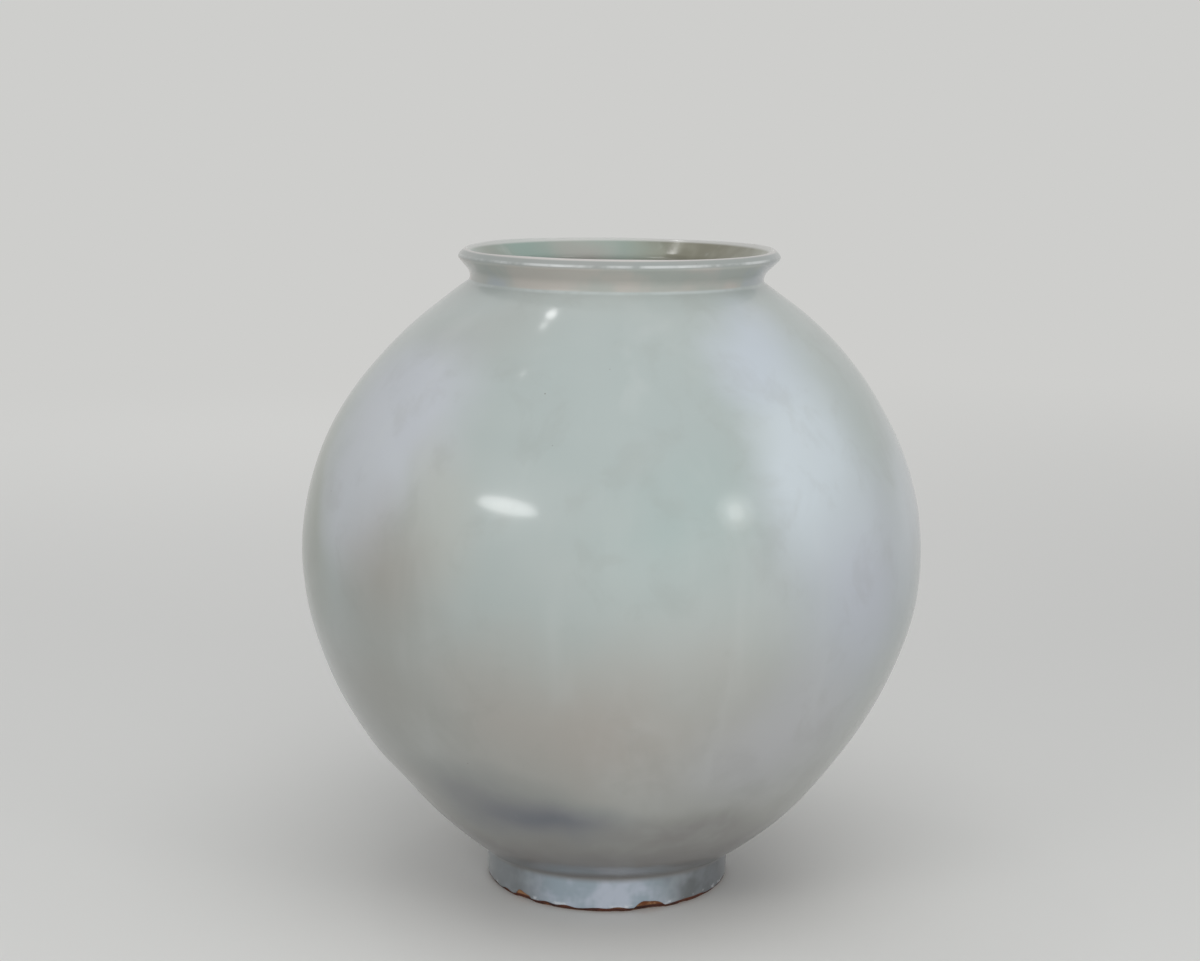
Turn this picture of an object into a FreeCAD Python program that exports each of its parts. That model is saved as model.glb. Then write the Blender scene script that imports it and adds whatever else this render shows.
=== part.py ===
"""Korean moon jar: two thrown bowls luted rim to rim, a luted neck and foot, and a glaze coat.

Millimetres, +Z up, origin at the centre of the foot's resting face. Every piece is a solid of revolution
about Z, drawn as a closed outline in the XZ plane. Radii and heights are those of the finished, glazed jar
unless a comment says otherwise; the clay lies one glaze coat inside them.
"""
import FreeCAD, Part

import math
import os

import Sketcher

# Closeness at which two measured lengths count as equal
TOLERANCE = 0.001

# Driving sizes
SIZES = [
    # Body of the jar, outside
    ("belly_diameter", 440.0, "widest diameter"),
    ("belly_height", 241.5, "height of the widest place, where the two bowls meet"),
    ("upper_belly_arc", 204.0, "radius of the outline just above the belly"),
    ("upper_belly_turn", 39.0, "degrees that this arc turns before the shoulder's arc takes over"),
    ("lower_belly_arc", 177.0, "radius of the outline just below the belly"),
    ("lower_belly_turn", 19.0, "degrees that this arc turns before the base's arc takes over"),
    ("shoulder_height", 434.4, "height of the crease between shoulder and neck"),
    ("glaze_coat", 0.5, "thickness of the glaze"),
    # Clay walls
    ("bowl_wall", 7.0, "clay wall at the belly and up to the shoulder"),
    ("foot_wall", 11.0, "clay wall of the lower bowl where it meets the foot"),
    ("base_thickness", 11.0, "clay under the inside floor"),
    ("floor_corner", 80.0, "radius between the inside floor and the wall"),
    # Rims and slip
    ("slip_coat", 0.8, "thickness of the luting slip in each seam"),
    ("key_width", 3.0, "width of the ridge and groove in the two rims"),
    ("key_depth", 2.0, "depth of the ridge and groove"),
    ("seam_bead_depth", 1.5, "how far the slip stands proud inside the belly"),
    ("seam_bead_arc", 9.0, "radius of that bead's section"),
    # Neck and lip
    ("neck_diameter", 208.2, "outside of the neck at the crease"),
    ("neck_ring_height", 21.8, "from the ring's seat to the top of the lip"),
    ("neck_upright", 2.0, "straight start of the neck above its seat"),
    ("neck_arc", 9.0, "hollow radius under the lip"),
    ("lip_diameter", 226.6, "widest diameter of the lip"),
    ("lip_edge_round", 2.6, "radius of the lip's outer edge"),
    ("lip_drop", 5.4, "from the top of the lip down to the centre of its outer edge"),
    ("crest_diameter", 217.0, "diameter of the lip's top line"),
    ("crest_round", 1.6, "radius of the lip's top"),
    ("throat_diameter", 192.0, "clear diameter of the mouth"),
    ("throat_round", 5.0, "radius between the inside of the lip and the throat"),
    ("throat_drop", 14.0, "from the top of the lip down to the centre of that radius"),
    # Foot
    ("foot_diameter", 174.6, "outside of the foot"),
    ("foot_height", 24.0, "height of the crease between foot and bowl"),
    ("foot_ring_height", 14.0, "height of the luted foot ring"),
    ("foot_ring_width", 11.0, "clay width of the foot ring"),
    ("foot_bevel", 1.8, "bevel on the foot's outer resting edge"),
    ("foot_inner_round", 1.5, "round on the foot's inner resting edge"),
    ("bare_band", 1.2, "bare clay left above each resting edge"),
    ("well_corner", 2.0, "radius of the glaze in the corner of the foot's hollow"),
]


def write_sizes(doc):
    """Put every driving size in one sheet, with its name as alias and its meaning beside it."""
    sheet = doc.addObject("Spreadsheet::Sheet", "Sizes")
    for row, (name, value, meaning) in enumerate(SIZES, start=1):
        sheet.set(f"A{row}", str(value))
        sheet.setAlias(f"A{row}", name)
        sheet.set(f"B{row}", meaning)
    doc.recompute()
    return sheet


doc = FreeCAD.newDocument("korean_moon_jar")
sheet = write_sizes(doc)


def size(name):
    """A driving size as a plain number."""
    return float(sheet.get(name))


# Expressions that several outlines share
GLAZE = "Sizes.glaze_coat"
CLAY_WALL = "Sizes.glaze_coat + Sizes.bowl_wall"
INSIDE_GLAZE = "Sizes.bowl_wall + 2 * Sizes.glaze_coat"
UPPER_CENTRE_X = "Sizes.belly_diameter / 2 - Sizes.upper_belly_arc"
LOWER_CENTRE_X = "Sizes.belly_diameter / 2 - Sizes.lower_belly_arc"
CLAY_NECK_X = "Sizes.neck_diameter / 2 - Sizes.glaze_coat"
CLAY_THROAT_X = "Sizes.throat_diameter / 2 + Sizes.glaze_coat"
CLAY_FOOT_X = "Sizes.foot_diameter / 2 - Sizes.glaze_coat"
WELL_X = f"{CLAY_FOOT_X} - Sizes.foot_ring_width"
KEY_MIDDLE_X = "Sizes.belly_diameter / 2 - Sizes.glaze_coat - Sizes.bowl_wall / 2"
BEAD_CENTRE_X = f"Sizes.belly_diameter / 2 - ({CLAY_WALL}) - Sizes.seam_bead_depth + Sizes.seam_bead_arc"
LOWER_RIM_Y = "Sizes.belly_height - Sizes.slip_coat"
BASE_Y = "Sizes.foot_ring_height + Sizes.slip_coat"
SEAT_Y = "outer_glaze_outline.Constraints.seat_height / 1 mm"
NECK_ROOT_Y = f"{SEAT_Y} + Sizes.slip_coat"
SHOULDER_ARC = "outer_glaze_outline.Constraints.shoulder_arc / 1 mm"
BASE_ARC = "outer_glaze_outline.Constraints.base_arc / 1 mm"
INSIDE_ARC = "lower_bowl_outline.Constraints.inside_arc / 1 mm"


# First guesses of the outlines' corners, as (radius, height) pairs, from the same sizes
def shift(point, distance, angle):
    """The point at a distance from another, in a direction given in radians."""
    return point[0] + distance * math.cos(angle), point[1] + distance * math.sin(angle)


def arc_through(start, inward, end):
    """Centre and radius of the arc that leaves start square to the inward direction and reaches end."""
    run, rise = end[0] - start[0], end[1] - start[1]
    depth = run * math.cos(inward) + rise * math.sin(inward)
    radius = (run ** 2 + rise ** 2) / (2 * depth)
    return shift(start, radius, inward), radius


def at_radius(centre, radius, x, upward):
    """The point of a circle at distance x from the jar's axis, on its upper or lower side."""
    rise = math.sqrt(radius ** 2 - (x - centre[0]) ** 2)
    return x, centre[1] + (rise if upward else -rise)


def tangent_line(first, first_radius, second, second_radius):
    """Ends of the line from one circle to the next; a radius is negative where the clay lies outside it."""
    run, rise = second[0] - first[0], second[1] - first[1]
    slope = math.atan2(rise, run) - math.asin((second_radius - first_radius) / math.hypot(run, rise))
    square = slope - math.pi / 2
    return shift(first, first_radius, square), shift(second, second_radius, square)


class Form:
    """Centres, radii and corners of the jar's section, worked out from the driving sizes."""

    def __init__(self):
        self.radius = size("belly_diameter") / 2
        self.level = size("belly_height")
        self.glaze = size("glaze_coat")
        self.wall = size("bowl_wall")
        self.upper_arc, self.lower_arc = size("upper_belly_arc"), size("lower_belly_arc")
        self.upper_turn = math.radians(size("upper_belly_turn"))
        self.lower_turn = -math.radians(size("lower_belly_turn"))
        self.upper_centre = (self.radius - self.upper_arc, self.level)
        self.lower_centre = (self.radius - self.lower_arc, self.level)
        self.crease = (size("neck_diameter") / 2, size("shoulder_height"))
        self.foot_crease = (size("foot_diameter") / 2, size("foot_height"))
        self.shoulder_centre, self.shoulder_arc = arc_through(
            self.upper_turned(0), self.upper_turn + math.pi, self.crease)
        self.base_centre, self.base_arc = arc_through(
            self.lower_turned(0), self.lower_turn + math.pi, self.foot_crease)
        clay_neck = self.crease[0] - self.glaze
        self.seat = self.shoulder_at(clay_neck, self.glaze)[1]
        self.root = self.seat + size("slip_coat")
        self.top = self.root + size("neck_ring_height")
        self.base = size("foot_ring_height") + size("slip_coat")
        self.floor = self.base + size("base_thickness")

    def upper_turned(self, depth):
        """Where the upper belly arc ends, on the outline that lies this deep inside the glazed face."""
        return shift(self.upper_centre, self.upper_arc - depth, self.upper_turn)

    def lower_turned(self, depth):
        """Where the lower belly arc ends, on the outline that lies this deep."""
        return shift(self.lower_centre, self.lower_arc - depth, self.lower_turn)

    def shoulder_at(self, x, depth):
        """The shoulder's point at a distance from the axis, this deep."""
        return at_radius(self.shoulder_centre, self.shoulder_arc - depth, x, True)

    def belly_at(self, height, depth):
        """The lower belly arc's point at a height, this deep."""
        radius = self.lower_arc - depth
        reach = math.sqrt(radius ** 2 - (height - self.level) ** 2)
        return self.lower_centre[0] + reach, height

    def well_x(self):
        """Radius of the foot ring's inner side."""
        return self.foot_crease[0] - self.glaze - size("foot_ring_width")

    def base_at(self, x, depth):
        """The point of the lower bowl's outside at a distance from the axis, this deep."""
        return at_radius(self.base_centre, self.base_arc - depth, x, False)

    def corner_centre(self):
        """Centre of the floor's corner arc, which keeps the foot's wall thickness from the foot's crease."""
        height = self.floor + size("floor_corner")
        span = size("floor_corner") + self.glaze + size("foot_wall")
        run = math.sqrt(span ** 2 - (height - self.foot_crease[1]) ** 2)
        return self.foot_crease[0] - run, height

    def inside_base(self):
        """Centre of the lower bowl's inside arc, which runs on from the belly and touches the corner arc."""
        start, inward = self.lower_turned(self.glaze + self.wall), self.lower_turn + math.pi
        corner = size("floor_corner")
        run, rise = (c - s for c, s in zip(self.corner_centre(), start))
        depth = run * math.cos(inward) + rise * math.sin(inward)
        radius = (run ** 2 + rise ** 2 - corner ** 2) / (2 * (depth - corner))
        return shift(start, radius, inward)

    def floor_arc(self, extra):
        """Centre of the floor's corner arc and its end on the wall, extra millimetres inside the clay."""
        centre, middle = self.inside_base(), self.corner_centre()
        outward = math.atan2(middle[1] - centre[1], middle[0] - centre[0])
        return middle, shift(middle, size("floor_corner") - extra, outward)

    def bead(self, extra):
        """Upper end, lower end and centre of the inside seam bead, extra millimetres inside the clay."""
        inner = self.glaze + self.wall
        bulge = size("seam_bead_arc")
        centre = (self.radius - inner - size("seam_bead_depth") + bulge, self.level)
        half = math.sqrt(bulge ** 2 - (bulge - size("seam_bead_depth")) ** 2)
        x = self.radius - inner - extra
        return (x, self.level + half), (x, self.level - half), centre

    def lip(self, inset, root):
        """Centres and tangent lines of the neck and lip, with the clay an inset inside the glazed face."""
        top = root + size("neck_ring_height")
        neck = (size("neck_diameter") / 2 + size("neck_arc"), root + size("neck_upright"))
        edge = (size("lip_diameter") / 2 - size("lip_edge_round"), top - size("lip_drop"))
        crest = (size("crest_diameter") / 2, top - size("crest_round"))
        throat = (size("throat_diameter") / 2 + size("throat_round"), top - size("throat_drop"))
        edge_round = size("lip_edge_round") - inset
        crest_round = size("crest_round") - inset
        under = tangent_line(neck, -size("neck_arc") - inset, edge, edge_round)
        bevel = tangent_line(edge, edge_round, crest, crest_round)
        flare = tangent_line(crest, crest_round, throat, size("throat_round") - inset)
        return {"neck": neck, "edge": edge, "crest": crest, "throat": throat,
                "under": under, "bevel": bevel, "flare": flare}


form = Form()


class Outline:
    """A closed outline in the XZ plane of one body, drawn segment by segment and then constrained by name."""

    def __init__(self, body, name, start):
        self.sketch = body.newObject("Sketcher::SketchObject", name)
        plane = next(f for f in body.Origin.OriginFeatures if f.Role == "XZ_Plane")
        self.sketch.AttachmentSupport = (plane, [""])
        self.sketch.MapMode = "FlatFace"
        self.first = self.here = start
        self.segments = {}
        self.order = []
        self.smooth_joints = set()

    def _add(self, label, geometry, ends):
        self.segments[label] = (self.sketch.addGeometry(geometry, False),) + ends
        self.order.append(label)

    def line(self, label, end):
        """A straight segment to the next corner."""
        line = Part.LineSegment(FreeCAD.Vector(*self.here, 0), FreeCAD.Vector(*end, 0))
        self._add(label, line, (1, 2))
        self.here = end
        return self

    def arc(self, label, centre, end, clockwise=False):
        """A round segment about a centre to the next corner."""
        begin, finish = (end, self.here) if clockwise else (self.here, end)
        radius = math.dist(centre, self.here)
        circle = Part.Circle(FreeCAD.Vector(*centre, 0), FreeCAD.Vector(0, 0, 1), radius)
        angles = [math.atan2(p[1] - centre[1], p[0] - centre[0]) for p in (begin, finish)]
        self._add(label, Part.ArcOfCircle(circle, *angles), (2, 1) if clockwise else (1, 2))
        self.here = end
        return self

    def close(self, smooth=()):
        """Join the segments in a ring; a smooth joint has the two segments tangent to each other."""
        for label, following in zip(self.order, self.order[1:] + self.order[:1]):
            kind = "Tangent" if (label, following) in smooth else "Coincident"
            one, other = self.segments[label], self.segments[following]
            self.sketch.addConstraint(Sketcher.Constraint(kind, one[0], one[2], other[0], other[1]))
        return self

    def _bind(self, name, constraint, expression):
        index = self.sketch.addConstraint(constraint)
        self.sketch.renameConstraint(index, name)
        self.sketch.setExpression(f"Constraints.{name}", expression)

    def _point(self, label, place):
        geometry, start, end = self.segments[label]
        return geometry, {"start": start, "end": end, "centre": 3}[place]

    def _where(self, label, place):
        return self.sketch.getPoint(*self._point(label, place))

    def place_x(self, label, place, expression):
        """Distance of a point from the jar's axis."""
        point = self._point(label, place)
        self._bind(f"{label}_{place}_x", Sketcher.Constraint(
            "DistanceX", -1, 1, *point, self._where(label, place).x), expression)
        return self

    def place_y(self, label, place, expression):
        """Height of a point above the body's own origin."""
        point = self._point(label, place)
        self._bind(f"{label}_{place}_y", Sketcher.Constraint(
            "DistanceY", -1, 1, *point, self._where(label, place).y), expression)
        return self

    def place(self, label, place, x, y):
        """Both places of a point."""
        return self.place_x(label, place, x).place_y(label, place, y)

    def on_axis(self, label, place):
        """A point on the jar's axis."""
        self.sketch.addConstraint(Sketcher.Constraint("PointOnObject", *self._point(label, place), -2))
        return self

    def level(self, *labels):
        """Horizontal lines."""
        for label in labels:
            self.sketch.addConstraint(Sketcher.Constraint("Horizontal", self.segments[label][0]))
        return self

    def upright(self, *labels):
        """Vertical lines."""
        for label in labels:
            self.sketch.addConstraint(Sketcher.Constraint("Vertical", self.segments[label][0]))
        return self

    def radius(self, label, expression):
        """Radius of a round segment."""
        geometry = self.segments[label][0]
        now = self.sketch.Geometry[geometry].Radius
        self._bind(f"{label}_radius", Sketcher.Constraint("Radius", geometry, now), expression)
        return self

    def shared_centre(self, label, other):
        """Two round segments about one centre."""
        ends = self._point(label, "centre") + self._point(other, "centre")
        self.sketch.addConstraint(Sketcher.Constraint("Coincident", *ends))
        return self

    def beside(self, label, place, other, other_place):
        """Two points at one height."""
        ends = self._point(label, place) + self._point(other, other_place)
        self.sketch.addConstraint(Sketcher.Constraint("Horizontal", *ends))
        return self

    def over(self, label, place, other, other_place):
        """Two points one above the other."""
        ends = self._point(label, place) + self._point(other, other_place)
        self.sketch.addConstraint(Sketcher.Constraint("Vertical", *ends))
        return self

    def rise(self, label, place, other, other_place, expression):
        """Height of one point above another."""
        low, high = self._point(other, other_place), self._point(label, place)
        height = self._where(label, place).y - self._where(other, other_place).y
        self._bind(f"{label}_rise", Sketcher.Constraint("DistanceY", *low, *high, height), expression)
        return self

    def span(self, label, start, to, length):
        """A construction line of a set length from a fixed point to the centre of an arc."""
        end = self._where(to, "centre")
        first = FreeCAD.Vector(*start["guess"], 0)
        line = self.sketch.addGeometry(Part.LineSegment(first, end), True)
        self.segments[label] = (line, 1, 2)
        self.place(label, "start", start["x"], start["y"])
        self.sketch.addConstraint(Sketcher.Constraint("Coincident", line, 2, *self._point(to, "centre")))
        self._bind(f"{label}_length", Sketcher.Constraint("Distance", line, (end - first).Length), length)
        return self

    def measure_radius(self, name, label):
        """A radius that follows from the rest, named for the other outlines."""
        geometry = self.segments[label][0]
        index = self.sketch.addConstraint(
            Sketcher.Constraint("Radius", geometry, self.sketch.Geometry[geometry].Radius))
        self._leave_driven(index, name)

    def measure_height(self, name, label, place):
        """A height that follows from the rest, named for the other outlines."""
        index = self.sketch.addConstraint(Sketcher.Constraint(
            "DistanceY", -1, 1, *self._point(label, place), self._where(label, place).y))
        self._leave_driven(index, name)

    def _leave_driven(self, index, name):
        self.sketch.setDriving(index, False)
        self.sketch.renameConstraint(index, name)


def new_body(name):
    """An empty body that will hold one piece."""
    body = doc.addObject("PartDesign::Body", name)
    body.Label = name
    return body


def turn_round(body, outline):
    """Turn the outline once about the jar's axis."""
    turned = body.newObject("PartDesign::Revolution", f"{body.Name}_turned")
    turned.Profile = outline.sketch
    turned.ReferenceAxis = (outline.sketch, ["V_Axis"])
    turned.Angle = 360
    outline.sketch.Visibility = False
    doc.recompute()
    return turned


def turned_height(upper, depth):
    """Height at which a belly arc hands over to the next one, on the outline that lies this deep."""
    side, sign = ("upper", "+") if upper else ("lower", "-")
    reach = f"(Sizes.{side}_belly_arc - ({depth})) * sin(Sizes.{side}_belly_turn * 1 deg)"
    return f"Sizes.belly_height {sign} {reach}"


def belly_arc(outline, label, upper, depth, turned_end):
    """Bind a belly arc that lies this deep inside the glazed face, with the end where it hands over."""
    outline.place(label, "centre", UPPER_CENTRE_X if upper else LOWER_CENTRE_X, "Sizes.belly_height")
    whole = "Sizes.upper_belly_arc" if upper else "Sizes.lower_belly_arc"
    outline.radius(label, f"{whole} - ({depth})")
    outline.place_y(label, turned_end, turned_height(upper, depth))


# Outer glaze: from the bare edge of the foot up to the top of the lip; it carries the finished outline
def make_outer_glaze():
    body = new_body("outer_glaze")
    skin, clay = form.lip(0, form.root), form.lip(form.glaze, form.root)
    bare = size("foot_bevel") + size("bare_band")
    foot_x, neck_x, crest_x = form.foot_crease[0], form.crease[0], size("crest_diameter") / 2
    inset = form.glaze
    upright = form.root + size("neck_upright")
    o = Outline(body, "outer_glaze_outline", (foot_x, bare))
    o.line("foot", form.foot_crease)
    o.arc("base", form.base_centre, form.lower_turned(0))
    o.arc("lower_belly", form.lower_centre, (form.radius, form.level))
    o.arc("upper_belly", form.upper_centre, form.upper_turned(0))
    o.arc("shoulder", form.shoulder_centre, form.crease)
    o.line("neck", (neck_x, upright))
    o.arc("neck_hollow", skin["neck"], skin["under"][0], clockwise=True)
    o.line("under", skin["under"][1])
    o.arc("lip_edge", skin["edge"], skin["bevel"][0])
    o.line("bevel", skin["bevel"][1])
    o.arc("crest", skin["crest"], (crest_x, form.top))
    o.line("crest_split", (crest_x, form.top - inset))
    o.arc("clay_crest", clay["crest"], clay["bevel"][1], clockwise=True)
    o.line("clay_bevel", clay["bevel"][0])
    o.arc("clay_lip_edge", clay["edge"], clay["under"][1], clockwise=True)
    o.line("clay_under", clay["under"][0])
    o.arc("clay_neck_hollow", clay["neck"], (neck_x - inset, upright))
    o.line("clay_neck", (neck_x - inset, form.seat))
    o.arc("clay_shoulder", form.shoulder_centre, form.upper_turned(inset), clockwise=True)
    o.arc("clay_upper_belly", form.upper_centre, (form.radius - inset, form.level), clockwise=True)
    o.arc("clay_lower_belly", form.lower_centre, form.lower_turned(inset), clockwise=True)
    o.arc("clay_base", form.base_centre, form.base_at(foot_x - inset, inset), clockwise=True)
    o.line("clay_foot", (foot_x - inset, bare))
    o.line("lower_edge", (foot_x, bare))
    o.close(smooth={
        ("base", "lower_belly"), ("upper_belly", "shoulder"), ("neck", "neck_hollow"),
        ("neck_hollow", "under"), ("under", "lip_edge"), ("lip_edge", "bevel"), ("bevel", "crest"),
        ("clay_crest", "clay_bevel"), ("clay_bevel", "clay_lip_edge"), ("clay_lip_edge", "clay_under"),
        ("clay_under", "clay_neck_hollow"), ("clay_neck_hollow", "clay_neck"),
        ("clay_shoulder", "clay_upper_belly"), ("clay_lower_belly", "clay_base")})
    o.upright("foot", "neck", "crest_split", "clay_foot").level("lower_edge")
    o.place("foot", "start", "Sizes.foot_diameter / 2", "Sizes.foot_bevel + Sizes.bare_band")
    o.place_y("foot", "end", "Sizes.foot_height")
    o.place("lower_belly", "centre", LOWER_CENTRE_X, "Sizes.belly_height")
    o.radius("lower_belly", "Sizes.lower_belly_arc")
    o.place_y("upper_belly", "centre", "Sizes.belly_height")
    o.radius("upper_belly", "Sizes.upper_belly_arc")
    o.place_y("lower_belly", "start", turned_height(False, "0"))
    o.beside("lower_belly", "end", "upper_belly", "centre")
    o.place_y("upper_belly", "end", turned_height(True, "0"))
    o.place("shoulder", "end", "Sizes.neck_diameter / 2", "Sizes.shoulder_height")
    o.radius("clay_upper_belly", f"Sizes.upper_belly_arc - {GLAZE}")
    o.place_x("clay_base", "end", CLAY_FOOT_X)
    o.place_x("clay_shoulder", "start", CLAY_NECK_X)
    o.beside("clay_upper_belly", "end", "upper_belly", "centre")
    for label in ("upper_belly", "lower_belly", "base", "shoulder", "neck_hollow", "lip_edge", "crest"):
        o.shared_centre(f"clay_{label}", label)
    o.radius("neck_hollow", "Sizes.neck_arc").radius("clay_neck_hollow", f"Sizes.neck_arc + {GLAZE}")
    o.radius("lip_edge", "Sizes.lip_edge_round").radius("clay_lip_edge", f"Sizes.lip_edge_round - {GLAZE}")
    o.radius("crest", "Sizes.crest_round").radius("clay_crest", f"Sizes.crest_round - {GLAZE}")
    o.place_x("lip_edge", "centre", "Sizes.lip_diameter / 2 - Sizes.lip_edge_round")
    o.place_x("crest", "centre", "Sizes.crest_diameter / 2")
    o.over("crest", "end", "crest", "centre")
    seat = ("clay_shoulder", "start")
    top = "Sizes.slip_coat + Sizes.neck_ring_height"
    o.rise("neck_hollow", "centre", *seat, "Sizes.slip_coat + Sizes.neck_upright")
    o.rise("lip_edge", "centre", *seat, f"{top} - Sizes.lip_drop")
    o.rise("crest", "centre", *seat, f"{top} - Sizes.crest_round")
    o.measure_radius("shoulder_arc", "shoulder")
    o.measure_radius("base_arc", "base")
    o.measure_height("seat_height", *seat)
    return turn_round(body, o)


# Upper bowl: set on upside down, its ridged rim on the slip and its cut-open top under the neck
def make_upper_bowl():
    body = new_body("upper_bowl")
    skin, clay = form.glaze, form.glaze + form.wall
    throat_x = size("throat_diameter") / 2 + form.glaze
    o = Outline(body, "upper_bowl_outline", (form.radius - skin, form.level))
    o.arc("belly", form.upper_centre, form.upper_turned(skin))
    o.arc("shoulder", form.shoulder_centre, (form.crease[0] - skin, form.seat))
    o.line("seat", (throat_x, form.seat))
    o.line("throat", form.shoulder_at(throat_x, clay))
    o.arc("inner_shoulder", form.shoulder_centre, form.upper_turned(clay), clockwise=True)
    o.arc("inner_belly", form.upper_centre, (form.radius - clay, form.level), clockwise=True)
    rim_key(o, "inner_rim", "outer_rim", form.level, form.radius - skin, inward=False)
    o.close(smooth={("belly", "shoulder"), ("inner_shoulder", "inner_belly")})
    belly_arc(o, "belly", True, GLAZE, "end")
    o.beside("belly", "start", "belly", "centre").beside("inner_belly", "end", "belly", "centre")
    o.radius("shoulder", f"{SHOULDER_ARC} - {GLAZE}")
    o.place_x("shoulder", "end", CLAY_NECK_X)
    o.level("seat").upright("throat").place_x("throat", "start", CLAY_THROAT_X)
    o.shared_centre("inner_shoulder", "shoulder").shared_centre("inner_belly", "belly")
    o.radius("inner_belly", f"Sizes.upper_belly_arc - ({CLAY_WALL})")
    bind_key(o, "inner_rim", "outer_rim", "Sizes.belly_height", inward=False)
    return turn_round(body, o)


def rim_key(outline, first, last, level, end_x, inward):
    """The corners of a rim with its V-shaped ridge or groove, drawn from one side of the wall across."""
    middle = form.radius - form.glaze - form.wall / 2
    half = size("key_width") / 2
    side = half if inward else -half
    outline.line(first, (middle + side, level))
    outline.line(f"{first}_flank", (middle, level - size("key_depth")))
    outline.line(f"{last}_flank", (middle - side, level))
    outline.line(last, (end_x, level))


def bind_key(outline, first, last, level, inward):
    """Bind those corners to the sizes."""
    near, far = ("+", "-") if inward else ("-", "+")
    outline.level(first, last)
    outline.place_x(first, "end", f"{KEY_MIDDLE_X} {near} Sizes.key_width / 2")
    outline.place(f"{first}_flank", "end", KEY_MIDDLE_X, f"{level} - Sizes.key_depth")
    outline.place_x(last, "start", f"{KEY_MIDDLE_X} {far} Sizes.key_width / 2")


# Lower bowl: thick base turned to the foot's diameter, and a grooved rim one slip coat under the belly line
def make_lower_bowl():
    body = new_body("lower_bowl")
    skin, clay = form.glaze, form.glaze + form.wall
    foot_x = form.foot_crease[0] - skin
    rim = form.level - size("slip_coat")
    corner_centre, corner_end = form.floor_arc(0)
    o = Outline(body, "lower_bowl_outline", (0, form.base))
    o.line("underside", (foot_x, form.base))
    o.line("foot_side", form.base_at(foot_x, skin))
    o.arc("base", form.base_centre, form.lower_turned(skin))
    o.arc("belly", form.lower_centre, form.belly_at(rim, skin))
    rim_key(o, "outer_rim", "inner_rim", rim, form.belly_at(rim, clay)[0], inward=True)
    o.arc("inner_belly", form.lower_centre, form.lower_turned(clay), clockwise=True)
    o.arc("inner_base", form.inside_base(), corner_end, clockwise=True)
    o.arc("floor_corner", corner_centre, (corner_centre[0], form.floor), clockwise=True)
    o.line("floor", (0, form.floor))
    o.line("middle", (0, form.base))
    o.close(smooth={("base", "belly"), ("inner_belly", "inner_base"), ("inner_base", "floor_corner"),
                    ("floor_corner", "floor")})
    o.on_axis("underside", "start").on_axis("floor", "end")
    o.level("underside", "floor").upright("foot_side")
    o.place("underside", "end", CLAY_FOOT_X, BASE_Y)
    belly_arc(o, "belly", False, GLAZE, "start")
    o.radius("base", f"{BASE_ARC} - {GLAZE}")
    o.place_y("belly", "end", LOWER_RIM_Y)
    bind_key(o, "outer_rim", "inner_rim", LOWER_RIM_Y, inward=True)
    o.shared_centre("inner_belly", "belly").radius("inner_belly", f"Sizes.lower_belly_arc - ({CLAY_WALL})")
    o.place_y("inner_belly", "start", LOWER_RIM_Y)
    o.place_y("inner_belly", "end", turned_height(False, CLAY_WALL))
    o.span("foot_wall", {"guess": form.foot_crease, "x": "Sizes.foot_diameter / 2", "y": "Sizes.foot_height"},
           "floor_corner", f"Sizes.floor_corner + {GLAZE} + Sizes.foot_wall")
    o.radius("floor_corner", "Sizes.floor_corner")
    o.place_y("floor", "end", f"{BASE_Y} + Sizes.base_thickness")
    o.measure_radius("inside_arc", "inner_base")
    return turn_round(body, o)


# Slip between the rims: fills the keyed seam and stands proud inside as a low bead
def make_belly_slip():
    body = new_body("belly_slip")
    skin, clay = form.glaze, form.glaze + form.wall
    rim = form.level - size("slip_coat")
    high, low, bead_centre = form.bead(0)
    o = Outline(body, "belly_slip_outline", (form.radius - skin, form.level))
    rim_key(o, "outer_top", "inner_top", form.level, form.radius - clay, inward=True)
    o.arc("upper_inside", form.upper_centre, high)
    o.arc("bead", bead_centre, low)
    o.arc("lower_inside", form.lower_centre, form.belly_at(rim, clay))
    rim_key(o, "inner_bottom", "outer_bottom", rim, form.belly_at(rim, skin)[0], inward=False)
    o.arc("outside", form.lower_centre, (form.radius - skin, form.level))
    o.close()
    bind_key(o, "outer_top", "inner_top", "Sizes.belly_height", inward=True)
    bind_key(o, "inner_bottom", "outer_bottom", LOWER_RIM_Y, inward=False)
    o.place("outside", "centre", LOWER_CENTRE_X, "Sizes.belly_height")
    o.radius("outside", f"Sizes.lower_belly_arc - {GLAZE}")
    o.beside("outside", "end", "outside", "centre").place_y("outside", "start", LOWER_RIM_Y)
    o.place("upper_inside", "centre", UPPER_CENTRE_X, "Sizes.belly_height")
    o.radius("upper_inside", f"Sizes.upper_belly_arc - ({CLAY_WALL})")
    o.beside("upper_inside", "start", "upper_inside", "centre")
    o.shared_centre("lower_inside", "outside")
    o.radius("lower_inside", f"Sizes.lower_belly_arc - ({CLAY_WALL})")
    o.place_y("lower_inside", "end", LOWER_RIM_Y)
    o.place("bead", "centre", BEAD_CENTRE_X, "Sizes.belly_height").radius("bead", "Sizes.seam_bead_arc")
    return turn_round(body, o)


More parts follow.
